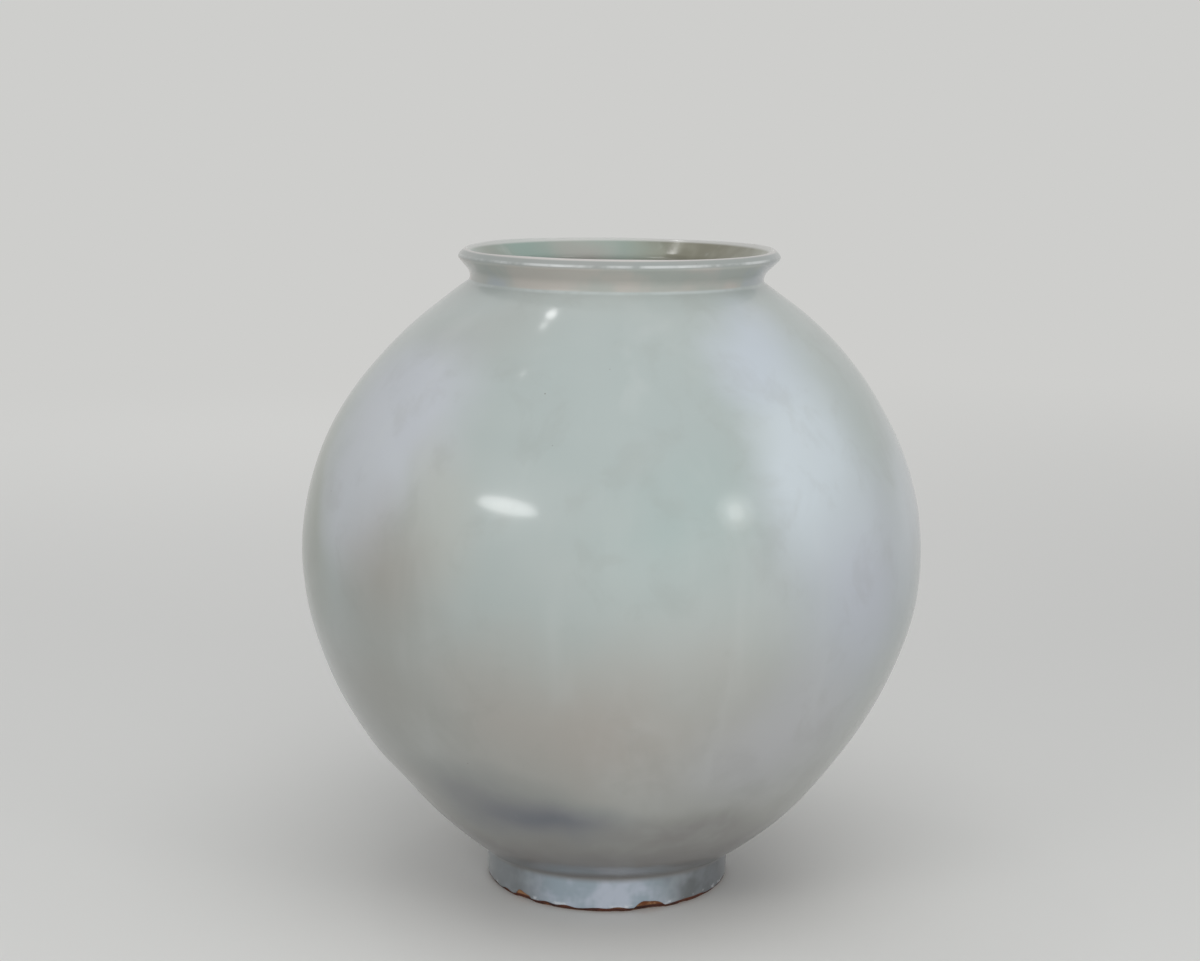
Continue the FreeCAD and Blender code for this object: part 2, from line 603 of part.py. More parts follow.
# Neck and lip: one luted ring, drawn above its own seat
def make_neck_ring():
    body = new_body("neck_ring")
    inset = form.glaze
    clay = form.lip(inset, 0)
    neck_x, throat_x = form.crease[0] - inset, size("throat_diameter") / 2 + inset
    o = Outline(body, "neck_ring_outline", (throat_x, 0))
    o.line("root", (neck_x, 0))
    o.line("neck", (neck_x, size("neck_upright")))
    o.arc("neck_hollow", clay["neck"], clay["under"][0], clockwise=True)
    o.line("under", clay["under"][1])
    o.arc("lip_edge", clay["edge"], clay["bevel"][0])
    o.line("bevel", clay["bevel"][1])
    o.arc("crest", clay["crest"], clay["flare"][0])
    o.line("flare", clay["flare"][1])
    o.arc("throat_round", clay["throat"], (throat_x, clay["throat"][1]))
    o.line("throat", (throat_x, 0))
    o.close(smooth={
        ("neck", "neck_hollow"), ("neck_hollow", "under"), ("under", "lip_edge"), ("lip_edge", "bevel"),
        ("bevel", "crest"), ("crest", "flare"), ("flare", "throat_round"), ("throat_round", "throat")})
    o.level("root").upright("neck", "throat")
    o.place("root", "start", CLAY_THROAT_X, "0").place_x("root", "end", CLAY_NECK_X)
    o.radius("neck_hollow", f"Sizes.neck_arc + {GLAZE}").radius("crest", f"Sizes.crest_round - {GLAZE}")
    o.radius("lip_edge", f"Sizes.lip_edge_round - {GLAZE}")
    o.radius("throat_round", f"Sizes.throat_round - {GLAZE}")
    o.place_y("neck_hollow", "centre", "Sizes.neck_upright")
    o.place("lip_edge", "centre", "Sizes.lip_diameter / 2 - Sizes.lip_edge_round",
            "Sizes.neck_ring_height - Sizes.lip_drop")
    o.place("crest", "centre", "Sizes.crest_diameter / 2", "Sizes.neck_ring_height - Sizes.crest_round")
    o.place_y("throat_round", "centre", "Sizes.neck_ring_height - Sizes.throat_drop")
    body.setExpression("Placement.Base.z", NECK_ROOT_Y)
    return turn_round(body, o)


# Plain rings: the slip under the neck, the slip over the foot ring and the foot ring itself
def make_ring(name, outer, inner, height, seat):
    body = new_body(name)
    sketch = body.newObject("Sketcher::SketchObject", f"{name}_outline")
    plane = next(f for f in body.Origin.OriginFeatures if f.Role == "XY_Plane")
    sketch.AttachmentSupport = (plane, [""])
    sketch.MapMode = "FlatFace"
    for label, (guess, expression) in (("outer", outer), ("inner", inner)):
        circle = sketch.addGeometry(Part.Circle(FreeCAD.Vector(), FreeCAD.Vector(0, 0, 1), guess), False)
        sketch.addConstraint(Sketcher.Constraint("Coincident", circle, 3, -1, 1))
        bound = sketch.addConstraint(Sketcher.Constraint("Radius", circle, guess))
        sketch.renameConstraint(bound, f"{label}_radius")
        sketch.setExpression(f"Constraints.{label}_radius", expression)
    pad = body.newObject("PartDesign::Pad", f"{name}_height")
    pad.Profile = sketch
    pad.setExpression("Length", height)
    sketch.Visibility = False
    body.setExpression("Placement.Base.z", seat)
    doc.recompute()
    return body


def lower_edge(feature, radius):
    """Name of a ring's lowest round edge of a given radius."""
    return [f"Edge{n}" for n, edge in enumerate(feature.Shape.Edges, start=1)
            if isinstance(edge.Curve, Part.Circle) and abs(edge.Curve.Radius - radius) < TOLERANCE
            and abs(edge.Curve.Center.z - feature.Shape.BoundBox.ZMin) < TOLERANCE]


def make_foot_ring():
    outer, inner = form.foot_crease[0] - form.glaze, form.well_x()
    body = make_ring("foot_ring", (outer, CLAY_FOOT_X), (inner, WELL_X), "Sizes.foot_ring_height", "0")
    ring = body.Tip
    bevel = body.newObject("PartDesign::Chamfer", "foot_bevel")
    bevel.Base = (ring, lower_edge(ring, outer))
    bevel.setExpression("Size", "Sizes.foot_bevel")
    doc.recompute()
    rounded = body.newObject("PartDesign::Fillet", "foot_inner_round")
    rounded.Base = (bevel, lower_edge(bevel, inner))
    rounded.setExpression("Radius", "Sizes.foot_inner_round")
    doc.recompute()
    return rounded


def make_slips():
    throat_x = size("throat_diameter") / 2 + form.glaze
    foot_x = form.foot_crease[0] - form.glaze
    make_ring("neck_slip", (form.crease[0] - form.glaze, CLAY_NECK_X), (throat_x, CLAY_THROAT_X),
              "Sizes.slip_coat", SEAT_Y)
    make_ring("foot_slip", (foot_x, CLAY_FOOT_X), (form.well_x(), WELL_X),
              "Sizes.slip_coat", "Sizes.foot_ring_height")


# Inner glaze: from the top of the lip down the throat and over the whole inside
def make_inner_glaze():
    body = new_body("inner_glaze")
    coat = form.glaze
    clay, skin = coat + form.wall, coat + form.wall + coat
    bright, under = form.lip(0, form.root), form.lip(coat, form.root)
    throat_x, crest_x = size("throat_diameter") / 2, size("crest_diameter") / 2
    high, low, bead_centre = form.bead(coat)
    clay_high, clay_low, _ = form.bead(0)
    wall_centre = form.inside_base()
    corner_centre, corner_end = form.floor_arc(coat)
    _, clay_corner_end = form.floor_arc(0)
    o = Outline(body, "inner_glaze_outline", (crest_x, form.top))
    o.arc("crest", bright["crest"], bright["flare"][0])
    o.line("flare", bright["flare"][1])
    o.arc("throat_round", bright["throat"], (throat_x, bright["throat"][1]))
    o.line("throat", form.shoulder_at(throat_x, skin))
    o.arc("shoulder", form.shoulder_centre, form.upper_turned(skin), clockwise=True)
    o.arc("upper_belly", form.upper_centre, high, clockwise=True)
    o.arc("bead", bead_centre, low)
    o.arc("lower_belly", form.lower_centre, form.lower_turned(skin), clockwise=True)
    o.arc("base", wall_centre, corner_end, clockwise=True)
    o.arc("floor_corner", corner_centre, (corner_centre[0], form.floor + coat), clockwise=True)
    o.line("floor", (0, form.floor + coat))
    o.line("middle", (0, form.floor))
    o.line("clay_floor", (corner_centre[0], form.floor))
    o.arc("clay_floor_corner", corner_centre, clay_corner_end)
    o.arc("clay_base", wall_centre, form.lower_turned(clay))
    o.arc("clay_lower_belly", form.lower_centre, clay_low)
    o.arc("clay_bead", bead_centre, clay_high, clockwise=True)
    o.arc("clay_upper_belly", form.upper_centre, form.upper_turned(clay))
    o.arc("clay_shoulder", form.shoulder_centre, form.shoulder_at(throat_x + coat, clay))
    o.line("clay_throat", (throat_x + coat, under["throat"][1]))
    o.arc("clay_throat_round", under["throat"], under["flare"][1], clockwise=True)
    o.line("clay_flare", under["flare"][0])
    o.arc("clay_crest", under["crest"], (crest_x, form.top - coat), clockwise=True)
    o.line("crest_split", (crest_x, form.top))
    o.close(smooth={
        ("crest", "flare"), ("flare", "throat_round"), ("throat_round", "throat"),
        ("shoulder", "upper_belly"), ("lower_belly", "base"), ("base", "floor_corner"),
        ("floor_corner", "floor"), ("clay_floor", "clay_floor_corner"), ("clay_floor_corner", "clay_base"),
        ("clay_base", "clay_lower_belly"), ("clay_upper_belly", "clay_shoulder"),
        ("clay_throat", "clay_throat_round"), ("clay_throat_round", "clay_flare"),
        ("clay_flare", "clay_crest")})
    o.level("floor", "clay_floor").upright("throat", "clay_throat", "crest_split")
    o.on_axis("floor", "end").on_axis("clay_floor", "start")
    top = f"{NECK_ROOT_Y} + Sizes.neck_ring_height"
    o.place("crest", "centre", "Sizes.crest_diameter / 2", f"{top} - Sizes.crest_round")
    o.over("crest", "start", "crest", "centre")
    o.place("throat_round", "centre", "Sizes.throat_diameter / 2 + Sizes.throat_round",
            f"{top} - Sizes.throat_drop")
    belly_arc(o, "upper_belly", True, INSIDE_GLAZE, "start")
    belly_arc(o, "lower_belly", False, INSIDE_GLAZE, "end")
    o.place("bead", "centre", BEAD_CENTRE_X, "Sizes.belly_height")
    o.radius("shoulder", f"{SHOULDER_ARC} - ({INSIDE_GLAZE})").radius("base", f"{INSIDE_ARC} - {GLAZE}")
    o.radius("floor_corner", f"Sizes.floor_corner - {GLAZE}")
    o.radius("crest", "Sizes.crest_round").radius("clay_crest", f"Sizes.crest_round - {GLAZE}")
    o.radius("throat_round", "Sizes.throat_round")
    o.radius("clay_throat_round", f"Sizes.throat_round - {GLAZE}")
    o.radius("bead", f"Sizes.seam_bead_arc + {GLAZE}").radius("clay_bead", "Sizes.seam_bead_arc")
    o.radius("clay_upper_belly", f"Sizes.upper_belly_arc - ({CLAY_WALL})")
    o.radius("clay_lower_belly", f"Sizes.lower_belly_arc - ({CLAY_WALL})")
    o.place_y("floor", "end", f"{BASE_Y} + Sizes.base_thickness + {GLAZE}")
    for label in ("crest", "throat_round", "shoulder", "upper_belly", "bead", "lower_belly", "base",
                  "floor_corner"):
        o.shared_centre(f"clay_{label}", label)
    return turn_round(body, o)


# Glaze in the hollow of the foot: ceiling and inner side of the ring, pooled in the corner
def make_foot_well_glaze():
    body = new_body("foot_well_glaze")
    coat, pool, wall_x = form.glaze, size("well_corner"), form.well_x()
    bare = size("foot_inner_round") + size("bare_band")
    low, inner_x = form.base - coat - pool, wall_x - coat
    o = Outline(body, "foot_well_glaze_outline", (0, form.base))
    o.line("top", (wall_x, form.base))
    o.line("ring_side", (wall_x, bare))
    o.line("lower_edge", (inner_x, bare))
    o.line("side", (inner_x, low))
    o.arc("corner", (inner_x - pool, low), (inner_x - pool, form.base - coat))
    o.line("ceiling", (0, form.base - coat))
    o.line("middle", (0, form.base))
    o.close(smooth={("side", "corner"), ("corner", "ceiling")})
    o.level("top", "lower_edge", "ceiling").upright("ring_side", "side")
    o.on_axis("top", "start").on_axis("ceiling", "end")
    o.place("top", "end", WELL_X, BASE_Y)
    o.place("lower_edge", "end", f"{WELL_X} - {GLAZE}", "Sizes.foot_inner_round + Sizes.bare_band")
    o.place_y("ceiling", "end", f"{BASE_Y} - {GLAZE}")
    o.radius("corner", "Sizes.well_corner")
    return turn_round(body, o)


def check(doc):
    """Stop with a message if an object failed, a sketch is loose or a piece is not one sound solid."""
    for item in doc.Objects:
        if {"Invalid", "Error"} & set(item.State):
            raise RuntimeError(f"{item.Name} did not compute: {item.State}")
        if item.isDerivedFrom("Sketcher::SketchObject") and not item.FullyConstrained:
            raise RuntimeError(f"{item.Name} is not fully constrained")
    for body in pieces(doc):
        shape = body.Shape
        if shape.isNull() or not shape.isValid() or len(shape.Solids) != 1:
            raise RuntimeError(f"{body.Label} is not one sound solid")


def pieces(doc):
    """The bodies of the document, one for each piece of the jar."""
    return [item for item in doc.Objects if item.isDerivedFrom("PartDesign::Body")]


def write_pieces(doc):
    """Write each piece to its own file and print its volume and extent."""
    os.makedirs("parts", exist_ok=True)
    for body in pieces(doc):
        body.Shape.exportStep(f"parts/{body.Label}.step")
        box = body.Shape.optimalBoundingBox(False)
        reach = f"z {box.ZMin:.2f} to {box.ZMax:.2f}, x {box.XMax:.2f}"
        print(f"{body.Label}: {body.Shape.Volume:.0f} mm3, {reach}")


make_outer_glaze()
make_upper_bowl()
make_lower_bowl()
make_belly_slip()
make_neck_ring()
make_foot_ring()
make_slips()
make_inner_glaze()
make_foot_well_glaze()
doc.recompute()
check(doc)
write_pieces(doc)
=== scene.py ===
"""Korean moon jar, dressed round its CAD frame. Lengths are millimetres until a mesh is written in metres."""

import math

import bpy
import numpy as np
from mathutils import Matrix, Vector


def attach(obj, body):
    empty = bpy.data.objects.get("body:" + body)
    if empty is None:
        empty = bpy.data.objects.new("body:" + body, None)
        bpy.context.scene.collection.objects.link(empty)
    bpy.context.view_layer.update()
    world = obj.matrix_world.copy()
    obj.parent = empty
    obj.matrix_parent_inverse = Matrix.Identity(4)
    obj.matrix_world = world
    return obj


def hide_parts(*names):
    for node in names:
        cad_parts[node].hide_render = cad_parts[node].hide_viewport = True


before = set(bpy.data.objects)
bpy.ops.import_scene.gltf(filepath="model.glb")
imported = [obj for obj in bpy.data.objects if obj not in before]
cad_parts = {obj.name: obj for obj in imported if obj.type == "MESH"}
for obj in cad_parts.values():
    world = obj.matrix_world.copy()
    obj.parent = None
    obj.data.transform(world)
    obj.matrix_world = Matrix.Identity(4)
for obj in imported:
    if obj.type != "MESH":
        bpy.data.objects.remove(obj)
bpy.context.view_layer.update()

MM = 0.001
BODY = "root"

# Sizes of the jar, as in the CAD model
BELLY_R, BELLY_Z = 220.0, 241.5
UPPER_ARC, UPPER_TURN = 204.0, math.radians(39)
LOWER_ARC, LOWER_TURN = 177.0, math.radians(19)
CREASE = (104.1, 434.4)
FOOT_CREASE = (87.3, 24.0)
GLAZE, WALL = 0.5, 7.0
SLIP, KEY_HALF, KEY_DEPTH = 0.8, 1.5, 2.0
BEAD_DEPTH, BEAD_ARC = 1.5, 9.0
NECK_RING_H, NECK_UP, NECK_ARC = 21.8, 2.0, 9.0
LIP_R, LIP_ROUND, LIP_DROP = 113.3, 2.6, 5.4
CREST_R, CREST_ROUND = 108.5, 1.6
THROAT_R, THROAT_ROUND, THROAT_DROP = 96.0, 5.0, 14.0
FOOT_RING_H, FOOT_RING_W, FOOT_WALL = 14.0, 11.0, 11.0
FOOT_BEVEL, FOOT_INNER_ROUND, BARE_BAND = 1.8, 1.5, 1.2
BASE_THICK, FLOOR_CORNER, WELL_CORNER = 11.0, 80.0, 2.0

# Points round the jar
AROUND, FINE_AROUND = 360, 540
# Largest steps between the points of an outline, from the long hidden walls down to the small rounds
HIDDEN_STEP, INSIDE_STEP, FLAT_STEP, BODY_STEP = 6.0, 4.0, 4.0, 3.0
BACK_STEP, SEAT_STEP, CLAY_LIP_STEP, SIDE_STEP = 2.0, 1.5, 1.2, 1.0
THROAT_STEP, EDGE_STEP, BEVEL_STEP, ROUND_STEP = 0.8, 0.7, 0.5, 0.4
# Points nearer than this are one, and a radius under it is none
TINY = 1e-6


# Plane geometry of the section
def polar(centre, radius, angle):
    return centre[0] + radius * math.cos(angle), centre[1] + radius * math.sin(angle)


def arc_from(start, inward, end):
    """Centre and radius of the arc that leaves start square to the inward direction and reaches end."""
    run, rise = end[0] - start[0], end[1] - start[1]
    radius = (run ** 2 + rise ** 2) / (2 * (run * math.cos(inward) + rise * math.sin(inward)))
    return polar(start, radius, inward), radius


def tangent_ends(first, first_r, second, second_r):
    """Ends of the line that touches two circles; a negative radius has the circle on the other side."""
    run, rise = second[0] - first[0], second[1] - first[1]
    slope = math.atan2(rise, run) - math.asin((second_r - first_r) / math.hypot(run, rise))
    square = slope - math.pi / 2
    return polar(first, first_r, square), polar(second, second_r, square)


def upper_side(centre, radius, x, sign=1):
    """The point of a circle at radius x, on its upper side, or its lower one for a sign of -1."""
    return x, centre[1] + sign * math.sqrt(radius ** 2 - (x - centre[0]) ** 2)


def at_height(centre, radius, z):
    """The outer point of a circle at this height."""
    return centre[0] + math.sqrt(radius ** 2 - (z - centre[1]) ** 2), z


def arc(centre, start, end, step):
    """Points of an arc, with both ends, about step apart."""
    radius = math.dist(centre, start)
    a = math.atan2(start[1] - centre[1], start[0] - centre[0])
    b = math.atan2(end[1] - centre[1], end[0] - centre[0])
    turn = (b - a + math.pi) % (2 * math.pi) - math.pi
    count = max(2, math.ceil(abs(turn) * radius / step))
    return [polar(centre, radius, a + turn * i / count) for i in range(count + 1)]


def line(start, end, step):
    """Points of a straight line, with both ends, about step apart."""
    count = max(1, math.ceil(math.dist(start, end) / step))
    return [tuple(s + (e - s) * i / count for s, e in zip(start, end)) for i in range(count + 1)]


def chain(*runs):
    """One outline from several runs, without the points that repeat."""
    points = []
    for run in runs:
        for point in run:
            if not points or math.dist(points[-1], point) > TINY:
                points.append(point)
    return points


UPPER_C = (BELLY_R - UPPER_ARC, BELLY_Z)
LOWER_C = (BELLY_R - LOWER_ARC, BELLY_Z)


def shoulder_joint(depth):
    """Where the upper belly passes into the shoulder, this deep under the glazed face."""
    return polar(UPPER_C, UPPER_ARC - depth, UPPER_TURN)


def base_joint(depth):
    """Where the lower belly passes into the base, this deep under the glazed face."""
    return polar(LOWER_C, LOWER_ARC - depth, -LOWER_TURN)


SHOULDER_C, SHOULDER_ARC = arc_from(shoulder_joint(0), UPPER_TURN + math.pi, CREASE)
BASE_C, BASE_ARC = arc_from(base_joint(0), math.pi - LOWER_TURN, FOOT_CREASE)
SEAT_Z = upper_side(SHOULDER_C, SHOULDER_ARC - GLAZE, CREASE[0] - GLAZE)[1]
ROOT_Z = SEAT_Z + SLIP
TOP_Z = ROOT_Z + NECK_RING_H
BASE_Z = FOOT_RING_H + SLIP
FLOOR_Z = BASE_Z + BASE_THICK
FLOOR_C_Z = FLOOR_Z + FLOOR_CORNER
FLOOR_C = (
    FOOT_CREASE[0] - math.sqrt((FLOOR_CORNER + GLAZE + FOOT_WALL) ** 2 - (FLOOR_C_Z - FOOT_CREASE[1]) ** 2),
    FLOOR_C_Z)
FOOT_OUT = FOOT_CREASE[0] - GLAZE
FOOT_IN = FOOT_OUT - FOOT_RING_W


def wall_inside():
    """Centre of the lower bowl's inside arc, which touches the floor's corner arc."""
    inward = math.pi - LOWER_TURN
    start = base_joint(GLAZE + WALL)
    run, rise = FLOOR_C[0] - start[0], FLOOR_C[1] - start[1]
    depth = run * math.cos(inward) + rise * math.sin(inward)
    radius = (run ** 2 + rise ** 2 - FLOOR_CORNER ** 2) / (2 * (depth - FLOOR_CORNER))
    return polar(start, radius, inward)


WALL_C = wall_inside()


def floor_joint(corner):
    """Where the lower bowl's inside arc passes into the floor's corner arc of this radius."""
    return polar(FLOOR_C, corner, math.atan2(FLOOR_C[1] - WALL_C[1], FLOOR_C[0] - WALL_C[0]))


def body_outside(depth, step, low, high):
    """The bowls' outline this deep under the glazed face, from a low point to a high one."""
    return chain(
        arc(BASE_C, low, base_joint(depth), step),
        arc(LOWER_C, base_joint(depth), (BELLY_R - depth, BELLY_Z), step),
        arc(UPPER_C, (BELLY_R - depth, BELLY_Z), shoulder_joint(depth), step),
        arc(SHOULDER_C, shoulder_joint(depth), high, step))


def lip_parts(inset):
    """Centres and tangent lines of the neck and lip, an inset inside the glazed face."""
    neck = (CREASE[0] + NECK_ARC, ROOT_Z + NECK_UP)
    edge = (LIP_R - LIP_ROUND, TOP_Z - LIP_DROP)
    crest = (CREST_R, TOP_Z - CREST_ROUND)
    throat = (THROAT_R + THROAT_ROUND, TOP_Z - THROAT_DROP)
    under = tangent_ends(neck, -NECK_ARC - inset, edge, LIP_ROUND - inset)
    bevel = tangent_ends(edge, LIP_ROUND - inset, crest, CREST_ROUND - inset)
    flare = tangent_ends(crest, CREST_ROUND - inset, throat, THROAT_ROUND - inset)
    return neck, edge, crest, throat, under, bevel, flare


def lip_outside(inset, start_z, step):
    """From the neck's foot up to the top of the lip."""
    neck, edge, crest, _, under, bevel, _ = lip_parts(inset)
    x = CREASE[0] - inset
    return chain(
        line((x, start_z), (x, neck[1]), step),
        arc(neck, (x, neck[1]), under[0], step),
        line(*under, step),
        arc(edge, under[1], bevel[0], step),
        line(*bevel, step),
        arc(crest, bevel[1], (CREST_R, TOP_Z - inset), step / 2))


def lip_inside(inset, end_z, step):
    """From the top of the lip down the throat."""
    _, _, crest, throat, _, _, flare = lip_parts(inset)
    x = THROAT_R + inset
    return chain(
        arc(crest, (CREST_R, TOP_Z - inset), flare[0], step / 2),
        line(*flare, step),
        arc(throat, flare[1], (x, throat[1]), step),
        line((x, throat[1]), (x, end_z), step))


def seam_bead(depth, radius):
    """Centre and both ends of the bead of slip inside the belly seam, on a wall face this deep."""
    centre = (BELLY_R - GLAZE - WALL - BEAD_DEPTH + BEAD_ARC, BELLY_Z)
    half = math.sqrt(radius ** 2 - (BELLY_R - depth - centre[0]) ** 2)
    high, low = ((BELLY_R - depth, BELLY_Z + sign * half) for sign in (1, -1))
    return centre, high, low


def inside(depth, step, throat_x, bead_radius):
    """The inside from the throat down to the middle of the floor, with the seam's bead."""
    bead, high, low = seam_bead(depth, bead_radius)
    corner = FLOOR_CORNER - (depth - GLAZE - WALL)
    floor_z = FLOOR_C[1] - corner
    return chain(
        arc(SHOULDER_C, upper_side(SHOULDER_C, SHOULDER_ARC - depth, throat_x), shoulder_joint(depth), step),
        arc(UPPER_C, shoulder_joint(depth), high, step),
        arc(bead, high, low, step / 3),
        arc(LOWER_C, low, base_joint(depth), step),
        arc(WALL_C, base_joint(depth), floor_joint(corner), step),
        arc(FLOOR_C, floor_joint(corner), (FLOOR_C[0], floor_z), step),
        line((FLOOR_C[0], floor_z), (0.0, floor_z), step))


# The thrown jar's own unevenness, shared by every piece. How far its axis leans to the right, by height
DRIFT = [(0, -0.6), (26, -0.6), (60, 1.0), (110, 2.3), (170, 1.2), (241.5, 0.0), (330, 0.2), (400, 0.6),
         (429, 1.0), (436, 2.6), (446, 4.0), (460, 4.8)]
# Millimetres by which its two sides stand out from the true outline, by height
LEFT_SIDE = [(15, 0), (45, -0.4), (66, -0.6), (84, -1.9), (96, -0.3), (107, 2.3), (125, 2.0), (147, 2.1),
             (165, 1.4), (182, 0.4), (200, 0), (225, -0.6), (250, -0.2), (300, -0.4), (330, -0.5),
             (350, -0.9), (380, -1.5), (405, -1.7), (422, -2.8), (431, -1.4), (443, 0.3)]
RIGHT_SIDE = [(15, 0), (32, 2.4), (54, 2.4), (62, 1.8), (72, 0.7), (87, -1.1), (106, -2.3), (125, -1.6),
              (150, -0.9), (180, -0.6), (205, 0), (235, 0.4), (280, 0.5), (320, -0.1), (350, -0.5),
              (366, 0.6), (390, 1.9), (408, 1.7), (416, 0.9), (425, -0.2), (434, -1.4), (446, 0)]
# Waves round the jar: size in millimetres, seed, number of terms and first term
OUT_OF_ROUND = [(0.5, 3, 3, 2), (0.12, 4, 5, 7)]
LIP_RISE = [(0.45, 5, 3, 1), (0.1, 6, 6, 6)]
GLAZE_EDGE = [(0.5, 31, 10, 6), (0.3, 32, 16, 26)]
CHIP_EDGE = [(0.22, 21, 14, 30)]
FOOT_GRAIN = [(0.12, 41, 20, 20)]
# Heights between which the neck's waves grow, and the rise and fall of the crease over the foot
NECK_WAVES_FROM, NECK_WAVES_TO = 425, 455
CREASE_RISE, CREASE_SPREAD, CREASE_FROM, CREASE_TO = 1.7, 11, 2, 14
# The heights that the curves over height cover, the reach of their smoothing, and how soft it is
CURVE_LOW, CURVE_HIGH, CURVE_REACH = -40.0, 520.0, 30
DRIFT_SPREAD, SIDE_SPREAD = 4, 5


def smooth_step(values, low, high):
    t = np.clip((values - low) / (high - low), 0, 1)
    return t * t * (3 - 2 * t)


def smooth_curve(values, knots, spread):
    """A curve near the knots, rounded over about the spread."""
    grid = np.arange(CURVE_LOW, CURVE_HIGH)
    raw = np.interp(grid, *zip(*knots))
    window = np.exp(-0.5 * (np.arange(-CURVE_REACH, CURVE_REACH + 1) / spread) ** 2)
    padded = np.pad(raw, CURVE_REACH, mode="edge")
    return np.interp(values, grid, np.convolve(padded, window / window.sum(), mode="valid"))


def around_noise(angle, seed, terms, first):
    """A smooth closed wave round the jar, about one high."""
    draw = np.random.default_rng(seed)
    total = np.zeros_like(angle)
    for k in range(first, first + terms):
        total += draw.normal() * np.sin(k * angle + draw.uniform(0, 2 * math.pi)) / math.sqrt(terms)
    return total


def waves(angle, parts):
    return sum(size * around_noise(angle, seed, terms, first) for size, seed, terms, first in parts)


def warp(points):
    """Move points of the true solid of revolution to where the thrown jar has them."""
    x, y, z = points.T
    angle = np.arctan2(x, -y)
    radius = np.hypot(x, y)
    neck = smooth_step(z, NECK_WAVES_FROM, NECK_WAVES_TO)
    near_crease = np.exp(-((z - FOOT_CREASE[1]) / CREASE_SPREAD) ** 2)
    near_crease = near_crease * smooth_step(z, CREASE_FROM, CREASE_TO)
    side = np.sin(angle)
    outward = neck * waves(angle, OUT_OF_ROUND)
    outward += smooth_curve(z, LEFT_SIDE, SIDE_SPREAD) * np.maximum(-side, 0) ** 2
    outward += smooth_curve(z, RIGHT_SIDE, SIDE_SPREAD) * np.maximum(side, 0) ** 2
    off_axis = np.minimum(radius / FOOT_CREASE[0], 1)
    new_r = radius + outward * off_axis
    new_z = z + neck * waves(angle, LIP_RISE)
    new_z = new_z + near_crease * CREASE_RISE * np.cos(2 * angle) * off_axis ** 2
    new_x = new_r * np.sin(angle) + smooth_curve(z, DRIFT, DRIFT_SPREAD)
    return np.column_stack([new_x, -new_r * np.cos(angle), new_z])


# Meshes
def revolve(outline, around=AROUND):
    """Vertices and faces of a closed outline turned round the axis; an end on the axis becomes one point."""
    angles = np.linspace(0, 2 * math.pi, around, endpoint=False)
    verts, rows = [], []
    for r, z in outline:
        if r < TINY:
            rows.append([len(verts)])
            verts.append((0.0, 0.0, z))
        else:
            rows.append(list(range(len(verts), len(verts) + around)))
            verts.extend(np.column_stack([r * np.sin(angles), -r * np.cos(angles), np.full(around, z)]))
    faces = []
    for one, two in zip(rows, rows[1:] + rows[:1]):
        for i in range(around):
            j = (i + 1) % around
            quad = [one[i % len(one)], two[i % len(two)], two[j % len(two)], one[j % len(one)]]
            face = list(dict.fromkeys(quad))
            if len(face) > 2:
                faces.append(face)
    return np.array(verts, float), faces


def make_piece(name, points, faces, node, material):
    """Write a mesh of the warped points, which stands for a CAD node."""
    mesh = bpy.data.meshes.new(name)
    mesh.from_pydata((warp(points) * MM).tolist(), [], faces)
    mesh.materials.append(material)
    mesh.polygons.foreach_set("use_smooth", [True] * len(mesh.polygons))
    mesh.update()
    piece = bpy.data.objects.new(name, mesh)
    bpy.context.scene.collection.objects.link(piece)
    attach(piece, BODY)
    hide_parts(node)


# Materials
def as_light(value):
    """One channel's screen value from 0 to 255 as a share of light."""
    return value / 255 / 12.92 if value <= 10 else ((value / 255 + 0.055) / 1.055) ** 2.4


def srgb(red, green, blue):
    """A colour named by its screen values from 0 to 255, as the shader wants it."""
    return tuple(as_light(value) for value in (red, green, blue))


